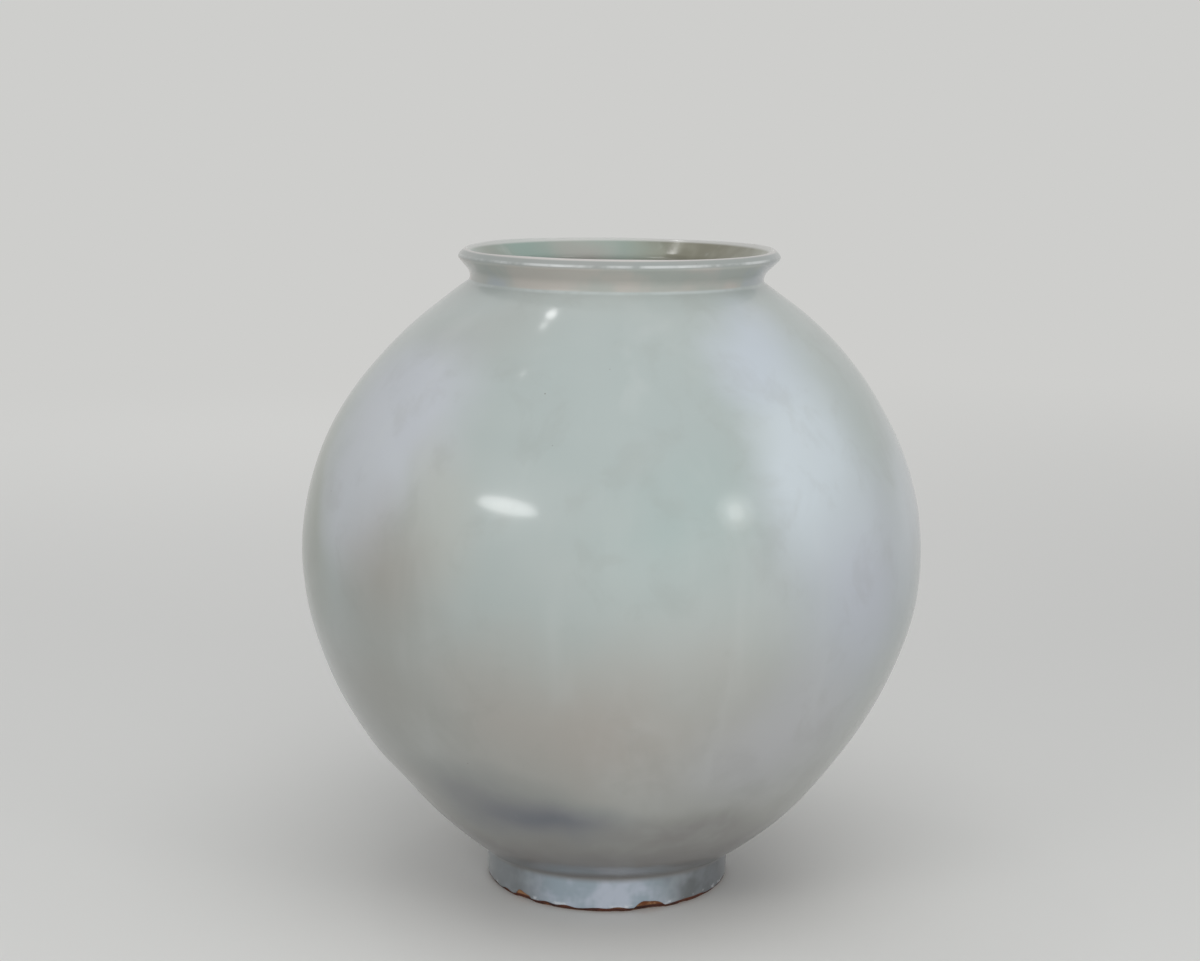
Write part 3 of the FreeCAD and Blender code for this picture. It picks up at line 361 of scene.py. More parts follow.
class Look:
    """A material under construction, with short names for the nodes it is made of."""

    def __init__(self, name, roughness, bump_height):
        self.material = bpy.data.materials.new(name)
        self.material.use_nodes = True
        self.tree = self.material.node_tree
        self.shader = self.tree.nodes["Principled BSDF"]
        # A plain value for wherever the nodes that finish links here are not followed
        self.shader.inputs["Roughness"].default_value = roughness
        self.place = self.tree.nodes.new("ShaderNodeTexCoord").outputs["Object"]
        self.bump_height = bump_height

    def node(self, kind, inputs, **settings):
        made = self.tree.nodes.new(kind)
        for key, value in settings.items():
            setattr(made, key, value)
        for key, value in inputs.items():
            if isinstance(value, bpy.types.NodeSocket):
                self.tree.links.new(value, made.inputs[key])
            else:
                made.inputs[key].default_value = value
        return made

    def stretched(self, scale, shift=(0, 0, 0), of=None):
        source = self.place if of is None else of
        made = self.node("ShaderNodeMapping", {"Vector": source, "Scale": scale, "Location": shift})
        return made.outputs[0]

    def noise(self, scale, detail=2.0, rough=0.5, swirl=0.0, at=None):
        source = self.place if at is None else at
        made = self.node("ShaderNodeTexNoise", {
            "Vector": source, "Scale": scale, "Detail": detail, "Roughness": rough, "Distortion": swirl})
        return made.outputs["Fac"]

    def cells(self, scale, at=None):
        """Distance to the nearest of many scattered points."""
        source = self.place if at is None else at
        return self.node("ShaderNodeTexVoronoi", {"Vector": source, "Scale": scale}).outputs["Distance"]

    def math(self, operation, one, two):
        return self.node("ShaderNodeMath", {0: one, 1: two}, operation=operation).outputs[0]

    def both(self, one, two):
        return self.math("MULTIPLY", one, two)

    def remap(self, value, low, high, to_low=0.0, to_high=1.0):
        made = self.node("ShaderNodeMapRange", {
            "Value": value, "From Min": low, "From Max": high, "To Min": to_low, "To Max": to_high},
            interpolation_type="SMOOTHSTEP")
        return made.outputs[0]

    def mix(self, factor, one, two):
        made = self.node("ShaderNodeMix", {}, data_type="RGBA")
        one, two = ((*c, 1) if isinstance(c, tuple) else c for c in (one, two))
        for index, value in ((0, factor), (6, one), (7, two)):
            if isinstance(value, bpy.types.NodeSocket):
                self.tree.links.new(value, made.inputs[index])
            else:
                made.inputs[index].default_value = value
        return made.outputs[2]

    def mottled(self, one, two, noise, low, high):
        """The first colour where the noise is low, passing into the second where it is high."""
        return self.mix(self.remap(noise, low, high), one, two)

    def over(self, colour, tint, mask, share=1.0):
        """A tint laid over a colour where the mask shows, at this share of its strength."""
        return self.mix(self.both(mask, share), colour, tint)

    def wobbly(self, amount, scale):
        """Object coordinates pushed about by noise, so that a patch has a cloudy outline."""
        made = self.node("ShaderNodeTexNoise", {"Vector": self.place, "Scale": scale, "Detail": 3.0})
        middle = (0.5, 0.5, 0.5)
        push = self.node("ShaderNodeVectorMath", {0: made.outputs["Color"], 1: middle}, operation="SUBTRACT")
        grown = self.node("ShaderNodeVectorMath", {0: push.outputs[0], "Scale": amount}, operation="SCALE")
        moved = self.node("ShaderNodeVectorMath", {0: self.place, 1: grown.outputs[0]}, operation="ADD")
        return moved.outputs[0]

    def patch(self, centre_mm, size_mm, at=None, core=0.0):
        """One inside a soft ellipsoid and nothing outside it; the core is its full share of the size."""
        scale = tuple(1 / (side * MM) for side in size_mm)
        shift = tuple(-c * MM * k for c, k in zip(centre_mm, scale))
        space = self.stretched(scale, shift, of=at)
        length = self.node("ShaderNodeVectorMath", {0: space}, operation="LENGTH").outputs["Value"]
        return self.remap(length, 1.0, core)

    def across(self, axis, low_mm, high_mm, at=None):
        """Nothing up to the first place along an axis and one from the second; the two may be swapped."""
        source = self.place if at is None else at
        value = self.node("ShaderNodeSeparateXYZ", {0: source}).outputs[axis]
        return self.remap(value, low_mm * MM, high_mm * MM)

    def level(self, low_mm, high_mm, at=None):
        return self.across("Z", low_mm, high_mm, at)

    def finish(self, colour, roughness, relief, strength):
        self.tree.links.new(colour, self.shader.inputs["Base Color"])
        self.tree.links.new(roughness, self.shader.inputs["Roughness"])
        bump = self.node("ShaderNodeBump", {
            "Height": relief, "Strength": strength, "Distance": self.bump_height * MM})
        self.tree.links.new(bump.outputs[0], self.shader.inputs["Normal"])
        return self.material


def glassy(look, roughness):
    """The clear, smooth top of a glaze over its softer depth."""
    look.shader.inputs["Coat Weight"].default_value = 0.8
    look.shader.inputs["Coat Roughness"].default_value = roughness
    look.shader.inputs["Coat IOR"].default_value = 1.5
    look.shader.inputs["Specular IOR Level"].default_value = 0.35


def glaze_gloss(look):
    return look.remap(look.noise(9.0, 3.0), 0.3, 0.7, 0.28, 0.42)


def glaze_relief(look):
    """Orange-peel, faint turning lines under the glaze and pinholes."""
    turning = look.noise(1.0, 3.0, 0.6, at=look.stretched((6, 6, 130)))
    peel = look.noise(160.0, 2.0)
    pits = look.remap(look.cells(95.0), 0.035, 0.012)
    rare = look.remap(look.noise(14.0, 2.0), 0.56, 0.66)
    soft = look.math("ADD", look.both(turning, 0.75), look.both(peel, 0.12))
    return look.math("SUBTRACT", soft, look.both(look.both(pits, rare), 1.2))


# Clouds in the outside glaze, with patches of painted shade low down and a painted reflection near the left
# side: middle, half sizes, strength, full share of the size, colour
CLOUDS_AND_PAINTED_LIGHT = [
    ((0, -160, 350), (150, 120, 130), 0.7, 0.0, srgb(168, 180, 178)),
    ((45, -205, 300), (75, 75, 80), 0.5, 0.0, srgb(162, 181, 178)),
    ((-216, -55, 275), (40, 140, 140), 0.8, 0.3, srgb(158, 163, 152)),
    ((-143, -125, 358), (78, 104, 90), 0.95, 0.35, srgb(196, 200, 206)),
    # A painted reflection: the lighter band just inside the left side
    ((-168, -120, 310), (50, 80, 84), 0.9, 0.35, srgb(199, 203, 208)),
    ((-112, -178, 300), (48, 60, 74), 0.75, 0.2, srgb(184, 187, 181)),
    ((-150, -160, 250), (75, 80, 70), 0.7, 0.0, srgb(164, 157, 148)),
    ((-160, -130, 175), (75, 100, 75), 0.55, 0.0, srgb(166, 162, 154)),
    ((-20, -200, 170), (200, 110, 95), 0.8, 0.0, srgb(180, 173, 165)),
    ((165, -150, 245), (110, 120, 135), 0.85, 0.0, srgb(192, 196, 206)),
    ((205, -60, 290), (40, 120, 120), 0.75, 0.0, srgb(204, 210, 217)),
    ((128, -150, 340), (66, 95, 125), 0.95, 0.2, srgb(202, 211, 216)),
    ((92, -118, 398), (52, 70, 42), 0.75, 0.1, srgb(196, 204, 214)),
    ((110, -150, 150), (110, 90, 80), 0.75, 0.0, srgb(194, 194, 197)),
    # Dark grey-blue patches low on the front: partly the glaze's own colour, partly painted shade under the
    # belly
    ((-80, -150, 108), (80, 80, 34), 0.5, 0.0, srgb(116, 119, 124)),
    ((-52, -150, 84), (108, 100, 34), 0.88, 0.0, srgb(104, 109, 121)),
    ((70, -140, 74), (90, 80, 30), 0.6, 0.0, srgb(124, 119, 118)),
    ((-75, -90, 400), (60, 70, 34), 0.4, 0.0, srgb(168, 168, 162)),
    ((150, 150, 300), (120, 90, 110), 0.6, 0.0, srgb(166, 184, 179)),
    ((-140, 160, 230), (120, 100, 95), 0.6, 0.0, srgb(184, 179, 171)),
    ((30, 200, 330), (110, 90, 95), 0.7, 0.2, srgb(192, 195, 204)),
    # A dark grey patch low at the back: partly the glaze's own colour, partly painted shade
    ((60, 150, 100), (130, 90, 50), 0.7, 0.0, srgb(132, 132, 132)),
]


def body_tints(look):
    """Celadon white with lavender, beige and grey clouds, darker towards the bottom partly as painted shade,
    a painted reflection near the left side, and streaks and mottling where the glaze ran.
    """
    cloud = look.wobbly(0.085, 7.0)
    milk = look.noise(5.2, 3.0, 0.55, 0.4)
    colour = look.mottled(srgb(174, 183, 180), srgb(183, 190, 187), milk, 0.38, 0.64)
    # Warm beige over the lower half and dark grey at the bottom: partly the glaze's own tone, partly painted
    # shade under the belly
    colour = look.over(colour, srgb(176, 173, 166), look.level(240, 60, cloud), 0.7)
    colour = look.over(colour, srgb(124, 120, 118), look.level(85, 35, cloud), 0.85)
    for centre, size, strength, core, tint in CLOUDS_AND_PAINTED_LIGHT:
        colour = look.over(colour, tint, look.patch(centre, size, cloud, core), strength)
    streaks = look.remap(look.noise(1.0, 3.0, 0.6, 0.3, at=look.stretched((19, 19, 4))), 0.5, 0.74)
    colour = look.over(colour, srgb(208, 212, 210), streaks, 0.16)
    mottle = look.remap(look.noise(26.0, 4.0, 0.6, 0.4), 0.5, 0.7)
    return look.over(colour, srgb(150, 150, 144), mottle, 0.14)


def foot_painted_light_and_shade(look, colour):
    """The foot: painted light where it faces the front, painted shade round its sides, darkest on its right,
    and some painted light on its left.
    """
    # Painted shade round the foot's sides, and a painted lit patch where it faces the front
    shaded_sides = look.mottled(srgb(114, 118, 119), srgb(150, 156, 160), look.noise(30.0, 3.0, 0.55), 0.4, 0.62)
    lit_front = look.mottled(srgb(160, 174, 184), srgb(190, 198, 210), look.noise(40.0, 3.0, 0.6), 0.4, 0.65)
    ring = look.over(shaded_sides, lit_front, look.patch((-8, -92, 12), (72, 62, 60), core=0.4))
    # Painted shade on the foot's right and painted light on its left
    ring = look.over(ring, srgb(92, 94, 98), look.patch((84, -40, 12), (52, 66, 40)), 0.7)
    ring = look.over(ring, srgb(156, 162, 167), look.patch((-84, -40, 12), (52, 66, 40)), 0.6)
    return look.over(colour, ring, look.level(26, 20))


def neck_tints(look, colour):
    """A painted highlight in the crease under the neck, warm glaze on the neck, and painted highlights along
    the lip's edges and crest.
    """
    broken = look.remap(look.noise(26.0, 4.0, 0.65), 0.38, 0.62)
    # A painted highlight along the crease under the neck, broken in places
    crease_highlight = look.both(look.level(433.0, 434.2), look.level(436.0, 434.8))
    colour = look.over(colour, srgb(214, 222, 222), look.both(crease_highlight, broken), 0.35)
    warm = look.mottled(srgb(177, 180, 173), srgb(193, 186, 178), look.noise(24.0, 3.0, 0.55), 0.4, 0.62)
    cool = look.remap(look.noise(19.0, 2.0, 0.5, at=look.stretched((1, 1, 1), (6, 2, 9))), 0.54, 0.66)
    warm = look.over(warm, srgb(166, 176, 186), cool, 0.7)
    colour = look.over(colour, warm, look.level(434.6, 436.2), 0.85)
    colour = look.over(colour, srgb(148, 154, 152), look.level(450.0, 452.0), 0.8)
    # A painted highlight along the lip's rounded edge, broken in places
    edge = look.both(look.level(451.3, 452.1), look.level(453.7, 452.9))
    colour = look.over(colour, srgb(226, 229, 228), look.both(edge, broken), 0.6)
    # A painted highlight along the lip's crest
    return look.over(colour, srgb(218, 212, 208), look.level(455.4, 456.4), 0.7)


def edge_glints_and_specks(look, colour):
    """Painted glints in places along the glaze's lower edge, and iron specks here and there."""
    # Painted glints: white dots along the glaze's lower edge
    edge_glints = look.both(look.level(6.2, 4.0), look.remap(look.noise(90.0, 3.0, 0.6), 0.5, 0.62))
    colour = look.over(colour, srgb(222, 226, 230), edge_glints, 0.7)
    specks = look.remap(look.cells(62.0, look.stretched((1, 1, 1), (2.3, 1.7, 0.4))), 0.04, 0.015)
    rare = look.remap(look.noise(11.0, 2.0, at=look.stretched((1, 1, 1), (4, 8, 1))), 0.55, 0.63)
    return look.over(colour, srgb(98, 88, 78), look.both(specks, rare), 0.75)


def outside_glaze():
    look = Look("outside_glaze_look", 0.34, 0.32)
    glassy(look, 0.11)
    colour = edge_glints_and_specks(look, neck_tints(look, foot_painted_light_and_shade(look, body_tints(look))))
    return look.finish(colour, glaze_gloss(look), glaze_relief(look), 0.35)


def inside_glaze():
    """Green, with grey-brown patches on the left and at the back, olive on the right, and a painted highlight
    along the rim.
    """
    look = Look("inside_glaze_look", 0.34, 0.32)
    glassy(look, 0.11)
    cloud = look.wobbly(0.07, 11.0)
    green = look.noise(8.0, 3.0, 0.5, 0.5)
    colour = look.mottled(srgb(150, 170, 161), srgb(170, 180, 171), green, 0.35, 0.65)
    olive = look.mottled(srgb(120, 113, 92), srgb(146, 142, 123), look.noise(20.0, 3.0, 0.6), 0.4, 0.6)
    colour = look.over(colour, olive, look.across("X", 0, 60, cloud), 0.85)
    colour = look.over(colour, srgb(150, 148, 136), look.patch((-92, 30, 447), (40, 60, 40), cloud), 0.8)
    colour = look.over(colour, srgb(172, 167, 161), look.patch((-22, 98, 448), (44, 44, 30), cloud), 0.75)
    streaks = look.remap(look.noise(1.0, 2.0, 0.5, at=look.stretched((60, 60, 4))), 0.6, 0.75)
    colour = look.over(colour, srgb(190, 196, 188), streaks, 0.35)
    # A painted highlight along the rim
    colour = look.over(colour, srgb(220, 219, 216), look.level(453.6, 455.4), 0.8)
    return look.finish(colour, glaze_gloss(look), glaze_relief(look), 0.35)


def foot_glaze():
    look = Look("foot_hollow_glaze_look", 0.36, 0.3)
    glassy(look, 0.1)
    milk = look.noise(16.0, 3.0, 0.55, 0.5)
    colour = look.mottled(srgb(166, 174, 168), srgb(182, 180, 168), milk, 0.35, 0.65)
    gloss = look.remap(look.noise(12.0, 3.0), 0.3, 0.7, 0.3, 0.46)
    return look.finish(colour, gloss, glaze_relief(look), 0.4)


def bare_foot():
    """Rust-red bare clay, paler in its chips, with sand on the resting edge."""
    look = Look("bare_foot_look", 0.8, 0.6)
    grit = look.noise(420.0, 4.0, 0.6)
    colour = look.mottled(srgb(60, 36, 32), srgb(96, 54, 40), look.noise(42.0, 4.0, 0.6, 0.4), 0.35, 0.65)
    flashed = look.remap(look.noise(75.0, 3.0, 0.6), 0.62, 0.72)
    colour = look.over(colour, srgb(170, 108, 66), flashed)
    fresh = look.mottled(srgb(128, 78, 50), srgb(186, 140, 100), look.noise(130.0, 4.0, 0.6), 0.38, 0.6)
    colour = look.over(colour, fresh, look.level(2.6, 4.0), 0.85)
    sand = look.mottled(srgb(150, 112, 88), srgb(186, 158, 130), grit, 0.4, 0.6)
    colour = look.over(colour, sand, look.level(0.9, 0.2), 0.65)
    return look.finish(colour, look.remap(grit, 0.3, 0.7, 0.7, 0.92), grit, 0.6)


def clay(name, light, dark):
    """Fired clay or slip, with a fine grain and the rings of the wheel."""
    look = Look(name, 0.75, 0.4)
    grain = look.noise(300.0, 4.0, 0.6)
    rings = look.noise(1.0, 3.0, 0.6, at=look.stretched((8, 8, 180)))
    colour = look.mottled(light, dark, look.noise(20.0, 4.0, 0.6), 0.35, 0.65)
    relief = look.math("ADD", look.both(grain, 0.4), look.both(rings, 0.8))
    return look.finish(colour, look.remap(grain, 0.3, 0.7, 0.65, 0.85), relief, 0.5)


# Pieces
# How far from each crease its glaze is rounded off, and the number of stretches of a bend
FOOT_SOFTENED, NECK_SOFTENED, BEND_PARTS = 2.2, 1.8, 10


def bend(start, corner, end, t):
    """A point of the curve from start to end that a corner pulls towards itself."""
    return tuple((1 - t) ** 2 * s + 2 * t * (1 - t) * c + t * t * e for s, c, e in zip(start, corner, end))


def soften(points, corner, reach):
    """Round a sharp corner of an outline, as glaze pools in a crease."""
    near = [i for i, point in enumerate(points) if math.dist(point, corner) < reach]
    before, after = points[near[0] - 1], points[near[-1] + 1]
    curve = [bend(before, corner, after, i / BEND_PARTS) for i in range(1, BEND_PARTS)]
    return points[:near[0]] + curve + points[near[-1] + 1:]


def rim_key(level, from_x, to_x):
    """A rim with its V-shaped ridge or groove, drawn across the wall."""
    middle = BELLY_R - GLAZE - WALL / 2
    side = math.copysign(KEY_HALF, from_x - to_x)
    return [(from_x, level), (middle + side, level), (middle, level - KEY_DEPTH), (middle - side, level),
            (to_x, level)]


# Chips along the foot's lower edge: azimuth from the front in degrees, then width, height and depth
CHIPS = [(-43, 17, 6.6, 1.8), (-29, 6, 3.2, 0.8), (20, 25, 7.0, 2.6), (39, 7, 3.6, 1.0), (4, 5, 2.8, 0.7),
         (112, 15, 5.5, 1.6), (151, 8, 3.8, 1.0), (203, 20, 6.5, 2.0), (262, 10, 4.4, 1.2)]
# How much farther each end of a chip reaches in the clay than in the glaze, and how much higher the chip does
CHIP_MARGIN, CHIP_ABOVE = 0.8, 0.6
# The broken faces of the chips: how rough they are, and their waves upward, on the slant and round the foot
CHIP_ROUGH, CHIP_UP, CHIP_SLANT, CHIP_ROUND = 0.25, 3.1, 9, 41
# How deep under the foot's outer side the chips fade out, and from where they are whole
BREAK_FROM, BREAK_WHOLE = 6, 2
# The height over which the grain of the clay's edge fades
GRAIN_FADE = 4
# Height up to which the glaze's ragged lower edge is felt, the least and most that it lifts
RAGGED_TO, RAGGED_LOW, RAGGED_HIGH = 16.0, -0.7, 1.4
# How much of that raggedness it keeps over a chip, and how near the outer side a point counts as glaze's edge
RAGGED_SHARE, RAGGED_BAND = 0.3, 1


def chip_reach(angle, extra=0.0):
    """How high each chip reaches, and how deep it goes, round the foot."""
    high, deep = np.zeros_like(angle), np.zeros_like(angle)
    ragged = 1 + waves(angle, CHIP_EDGE)
    for degrees, width, height, depth in CHIPS:
        off = np.abs((angle - math.radians(degrees) + math.pi) % (2 * math.pi) - math.pi)
        share = np.clip(1 - (off * FOOT_CREASE[0] / (width / 2 + extra)) ** 2, 0, 1)
        high = np.maximum(high, np.sqrt(share) * height * ragged)
        deep = np.maximum(deep, np.sqrt(share) * depth)
    return high, deep


def ragged_glaze_edge(points):
    """Lift the glaze's lower edge unevenly, and over the chips."""
    x, y, z = points.T
    angle = np.arctan2(x, -y)
    low = FOOT_BEVEL + BARE_BAND
    chips, _ = chip_reach(angle)
    uneven = waves(angle, GLAZE_EDGE)
    lift = np.maximum(np.clip(uneven, RAGGED_LOW, RAGGED_HIGH), chips + RAGGED_SHARE * uneven - low)
    near = (z < RAGGED_TO) & (np.hypot(x, y) > FOOT_CREASE[0] - RAGGED_BAND)
    share = np.where(near, (RAGGED_TO - z) / (RAGGED_TO - low), 0)
    return np.column_stack([x, y, z + lift * share])


def break_foot_edge(points):
    """Scoop the chips out of the clay ring's lower outer edge."""
    x, y, z = points.T
    angle = np.arctan2(x, -y)
    radius = np.hypot(x, y)
    high, deep = chip_reach(angle, CHIP_MARGIN)
    rough = 1 + CHIP_ROUGH * np.sin(z * CHIP_UP + CHIP_SLANT * angle) * np.cos(CHIP_ROUND * angle)
    within = np.clip(1 - (z / np.maximum(high + CHIP_ABOVE, TINY)) ** 2, 0, 1)
    outer_side = smooth_step(radius, FOOT_CREASE[0] - BREAK_FROM, FOOT_CREASE[0] - BREAK_WHOLE)
    grain = waves(angle, FOOT_GRAIN) * np.exp(-z / GRAIN_FADE)
    moved = radius - (deep * within * rough + grain) * outer_side
    return np.column_stack([moved * np.sin(angle), -moved * np.cos(angle), z])


def outer_glaze():
    low = FOOT_BEVEL + BARE_BAND
    skin = chain(
        line((FOOT_CREASE[0], low), FOOT_CREASE, EDGE_STEP),
        body_outside(0, BODY_STEP, FOOT_CREASE, CREASE),
        lip_outside(0, CREASE[1], EDGE_STEP))
    skin = soften(soften(skin, FOOT_CREASE, FOOT_SOFTENED), CREASE, NECK_SOFTENED)
    base = upper_side(BASE_C, BASE_ARC - GLAZE, FOOT_OUT, -1)
    back = chain(
        line((FOOT_OUT, low), base, FLAT_STEP),
        body_outside(GLAZE, HIDDEN_STEP, base, (CREASE[0] - GLAZE, SEAT_Z)),
        lip_outside(GLAZE, SEAT_Z, SEAT_STEP))
    points, faces = revolve(skin + back[::-1], FINE_AROUND)
    make_piece("outer_glaze_coat", ragged_glaze_edge(points), faces, "outer_glaze",
               outside_glaze())


def inner_glaze():
    throat_low = upper_side(SHOULDER_C, SHOULDER_ARC - 2 * GLAZE - WALL, THROAT_R)[1]
    skin = chain(
        lip_inside(0, throat_low, THROAT_STEP),
        inside(WALL + 2 * GLAZE, INSIDE_STEP, THROAT_R, BEAD_ARC + GLAZE))
    back_low = upper_side(SHOULDER_C, SHOULDER_ARC - GLAZE - WALL, THROAT_R + GLAZE)[1]
    back = chain(
        lip_inside(GLAZE, back_low, BACK_STEP),
        inside(WALL + GLAZE, 2 * INSIDE_STEP, THROAT_R + GLAZE, BEAD_ARC))
    points, faces = revolve(skin + back[::-1])
    make_piece("inner_glaze_coat", points, faces, "inner_glaze", inside_glaze())


def foot_well_glaze():
    low, ceiling = FOOT_INNER_ROUND + BARE_BAND, BASE_Z - GLAZE
    side = FOOT_IN - GLAZE
    corner = (side - WELL_CORNER, ceiling - WELL_CORNER)
    outline = chain(
        line((0, BASE_Z), (FOOT_IN, BASE_Z), FLAT_STEP),
        line((FOOT_IN, BASE_Z), (FOOT_IN, low), BACK_STEP),
        line((side, low), (side, corner[1]), SIDE_STEP),
        arc(corner, (side, corner[1]), (corner[0], ceiling), BEVEL_STEP),
        line((corner[0], ceiling), (0, ceiling), BODY_STEP))
    points, faces = revolve(outline)
    make_piece("foot_hollow_glaze_coat", points, faces, "foot_well_glaze", foot_glaze())


def upper_bowl(material):
    throat_x = THROAT_R + GLAZE
    depth = GLAZE + WALL
    outline = chain(
        arc(UPPER_C, (BELLY_R - GLAZE, BELLY_Z), shoulder_joint(GLAZE), HIDDEN_STEP),
        arc(SHOULDER_C, shoulder_joint(GLAZE), (CREASE[0] - GLAZE, SEAT_Z), HIDDEN_STEP),
        [(throat_x, SEAT_Z)],
        arc(SHOULDER_C, upper_side(SHOULDER_C, SHOULDER_ARC - depth, throat_x), shoulder_joint(depth),
            HIDDEN_STEP),
        arc(UPPER_C, shoulder_joint(depth), (BELLY_R - depth, BELLY_Z), HIDDEN_STEP),
        rim_key(BELLY_Z, BELLY_R - depth, BELLY_R - GLAZE)[1:-1])
    points, faces = revolve(outline)
    make_piece("upper_bowl_clay", points, faces, "upper_bowl", material)


def lower_rim():
    """Outer and inner edge of the lower bowl's rim."""
    return (at_height(LOWER_C, LOWER_ARC - d, BELLY_Z - SLIP) for d in (GLAZE, GLAZE + WALL))


def lower_bowl(material):
    depth = GLAZE + WALL
    base = upper_side(BASE_C, BASE_ARC - GLAZE, FOOT_OUT, -1)
    outer_rim, inner_rim = lower_rim()
    outline = chain(
        line((0, BASE_Z), (FOOT_OUT, BASE_Z), HIDDEN_STEP),
        [base],
        arc(BASE_C, base, base_joint(GLAZE), HIDDEN_STEP),
        arc(LOWER_C, base_joint(GLAZE), outer_rim, HIDDEN_STEP),
        rim_key(BELLY_Z - SLIP, outer_rim[0], inner_rim[0]),
        arc(LOWER_C, inner_rim, base_joint(depth), HIDDEN_STEP),
        arc(WALL_C, base_joint(depth), floor_joint(FLOOR_CORNER), HIDDEN_STEP),
        arc(FLOOR_C, floor_joint(FLOOR_CORNER), (FLOOR_C[0], FLOOR_Z), HIDDEN_STEP),
        line((FLOOR_C[0], FLOOR_Z), (0, FLOOR_Z), HIDDEN_STEP))
    points, faces = revolve(outline)
    make_piece("lower_bowl_clay", points, faces, "lower_bowl", material)


def belly_slip(material):
    depth = GLAZE + WALL
    bead, high, low = seam_bead(depth, BEAD_ARC)
    outer_rim, inner_rim = lower_rim()
    outline = chain(
        rim_key(BELLY_Z, BELLY_R - GLAZE, BELLY_R - depth),
        arc(UPPER_C, (BELLY_R - depth, BELLY_Z), high, SEAT_STEP),
        arc(bead, high, low, SIDE_STEP),
        arc(LOWER_C, low, inner_rim, SEAT_STEP),
        rim_key(BELLY_Z - SLIP, inner_rim[0], outer_rim[0]))
    points, faces = revolve(outline)
    make_piece("belly_slip_seam", points, faces, "belly_slip", material)


def neck_ring(material):
    outline = chain(
        [(THROAT_R + GLAZE, ROOT_Z)],
        lip_outside(GLAZE, ROOT_Z, CLAY_LIP_STEP),
        lip_inside(GLAZE, ROOT_Z, CLAY_LIP_STEP)[:-1])
    points, faces = revolve(outline)
    make_piece("neck_ring_clay", points, faces, "neck_ring", material)


def slip_ring(name, node, outer, inner, low, high, material):
    """The flat ring of slip under the neck or over the foot."""
    points, faces = revolve([(inner, low), (outer, low), (outer, high), (inner, high)])
    make_piece(name, points, faces, node, material)


def foot_ring():
    rest_out, rest_in = FOOT_OUT - FOOT_BEVEL, FOOT_IN + FOOT_INNER_ROUND
    outline = chain(
        line((rest_out, 0), (FOOT_OUT, FOOT_BEVEL), BEVEL_STEP),
        line((FOOT_OUT, FOOT_BEVEL), (FOOT_OUT, FOOT_RING_H), SIDE_STEP),
        line((FOOT_OUT, FOOT_RING_H), (FOOT_IN, FOOT_RING_H), BODY_STEP),
        line((FOOT_IN, FOOT_RING_H), (FOOT_IN, FOOT_INNER_ROUND), SIDE_STEP),
        arc((rest_in, FOOT_INNER_ROUND), (FOOT_IN, FOOT_INNER_ROUND), (rest_in, 0), ROUND_STEP),
        line((rest_in, 0), (rest_out, 0), SIDE_STEP))
    points, faces = revolve(outline[:-1], FINE_AROUND)
    make_piece("foot_ring_clay", break_foot_edge(points), faces, "foot_ring", bare_foot())


# Camera, floor and light, in metres; the lens and its sensor are in millimetres
LENS, SENSOR, NEAREST, FARTHEST = 66.2, 36, 0.05, 50
CAMERA_PLACE = (-0.0081, -1.551, 0.5697)
CAMERA_DOWN, CAMERA_ROLL = math.radians(10.186), math.radians(0.5)

BACKDROP, FLOOR_SHOWN = srgb(206, 206, 204), srgb(230, 229, 226)
WORLD_LIGHT, FLOOR_LIGHT = (0.47, 0.48, 0.49), (0.36, 0.36, 0.35)
# The opening under the foot's hollow, the floor's reach and number of sides, and where it fades out
FLOOR_HOLE, FLOOR_REACH, FLOOR_SIDES = 0.082, 8.0, 96
FADE_FROM, FADE_TO = 0.6, 3.0

# Lamps that light the jar and don't show in the glaze: place, aim, width, height and power
SOFT_LAMPS = {
    "overhead": ((0.3, -1.1, 2.5), (0, 0, 0.3), 2.2, 1.8, 14.5),
    "front": ((0.6, -2.8, 0.55), (0, 0, 0.2), 1.6, 1.0, 26),
    "rear": ((-0.7, 2.7, 1.3), (0, 0, 0.25), 1.6, 1.2, 11),
}
# Oval lamps that make the highlights in the glaze
WINDOWS = {
    "window_left": ((-1.265, -1.545, 1.175), (-0.067, -0.197, 0.310), 0.84, 0.21, 3.7),
    "window_right": ((1.455, -1.418, 1.085), (0.078, -0.195, 0.306), 0.22, 0.24, 0.5),
    "window_right_veil": ((1.47, -1.43, 1.09), (0.078, -0.195, 0.306), 0.52, 0.50, 1.2),
    "window_back": ((-0.645, 0.395, 2.255), (-0.042, -0.115, 0.421), 0.095, 0.12, 0.4),
    "window_back_low": ((-0.72, 0.29, 2.245), (-0.042, -0.115, 0.421), 0.07, 0.07, 0.11),
    "window_glint": ((-0.947, -0.202, 2.177), (-0.059, -0.149, 0.386), 0.035, 0.06, 0.05),
}


def make_camera():
    data = bpy.data.cameras.new("camera")
    data.sensor_width, data.lens = SENSOR, LENS
    data.clip_start, data.clip_end = NEAREST, FARTHEST
    camera = bpy.data.objects.new("camera", data)
    camera.rotation_mode = "XYZ"
    camera.matrix_world = (Matrix.Translation(CAMERA_PLACE)
                           @ Matrix.Rotation(math.radians(90) - CAMERA_DOWN, 4, "X")
                           @ Matrix.Rotation(CAMERA_ROLL, 4, "Z"))
    bpy.context.scene.collection.objects.link(camera)
    bpy.context.scene.camera = camera


def seen_by_ray(tree):
    """One for rays that show the backdrop, and nothing for those by which it lights things."""
    path = tree.nodes.new("ShaderNodeLightPath")
    most = path.outputs["Is Camera Ray"]
    for other in ("Is Glossy Ray", "Is Transmission Ray"):
        made = tree.nodes.new("ShaderNodeMath")
        made.operation = "MAXIMUM"
        tree.links.new(most, made.inputs[0])
        tree.links.new(path.outputs[other], made.inputs[1])
        most = made.outputs[0]
    return most


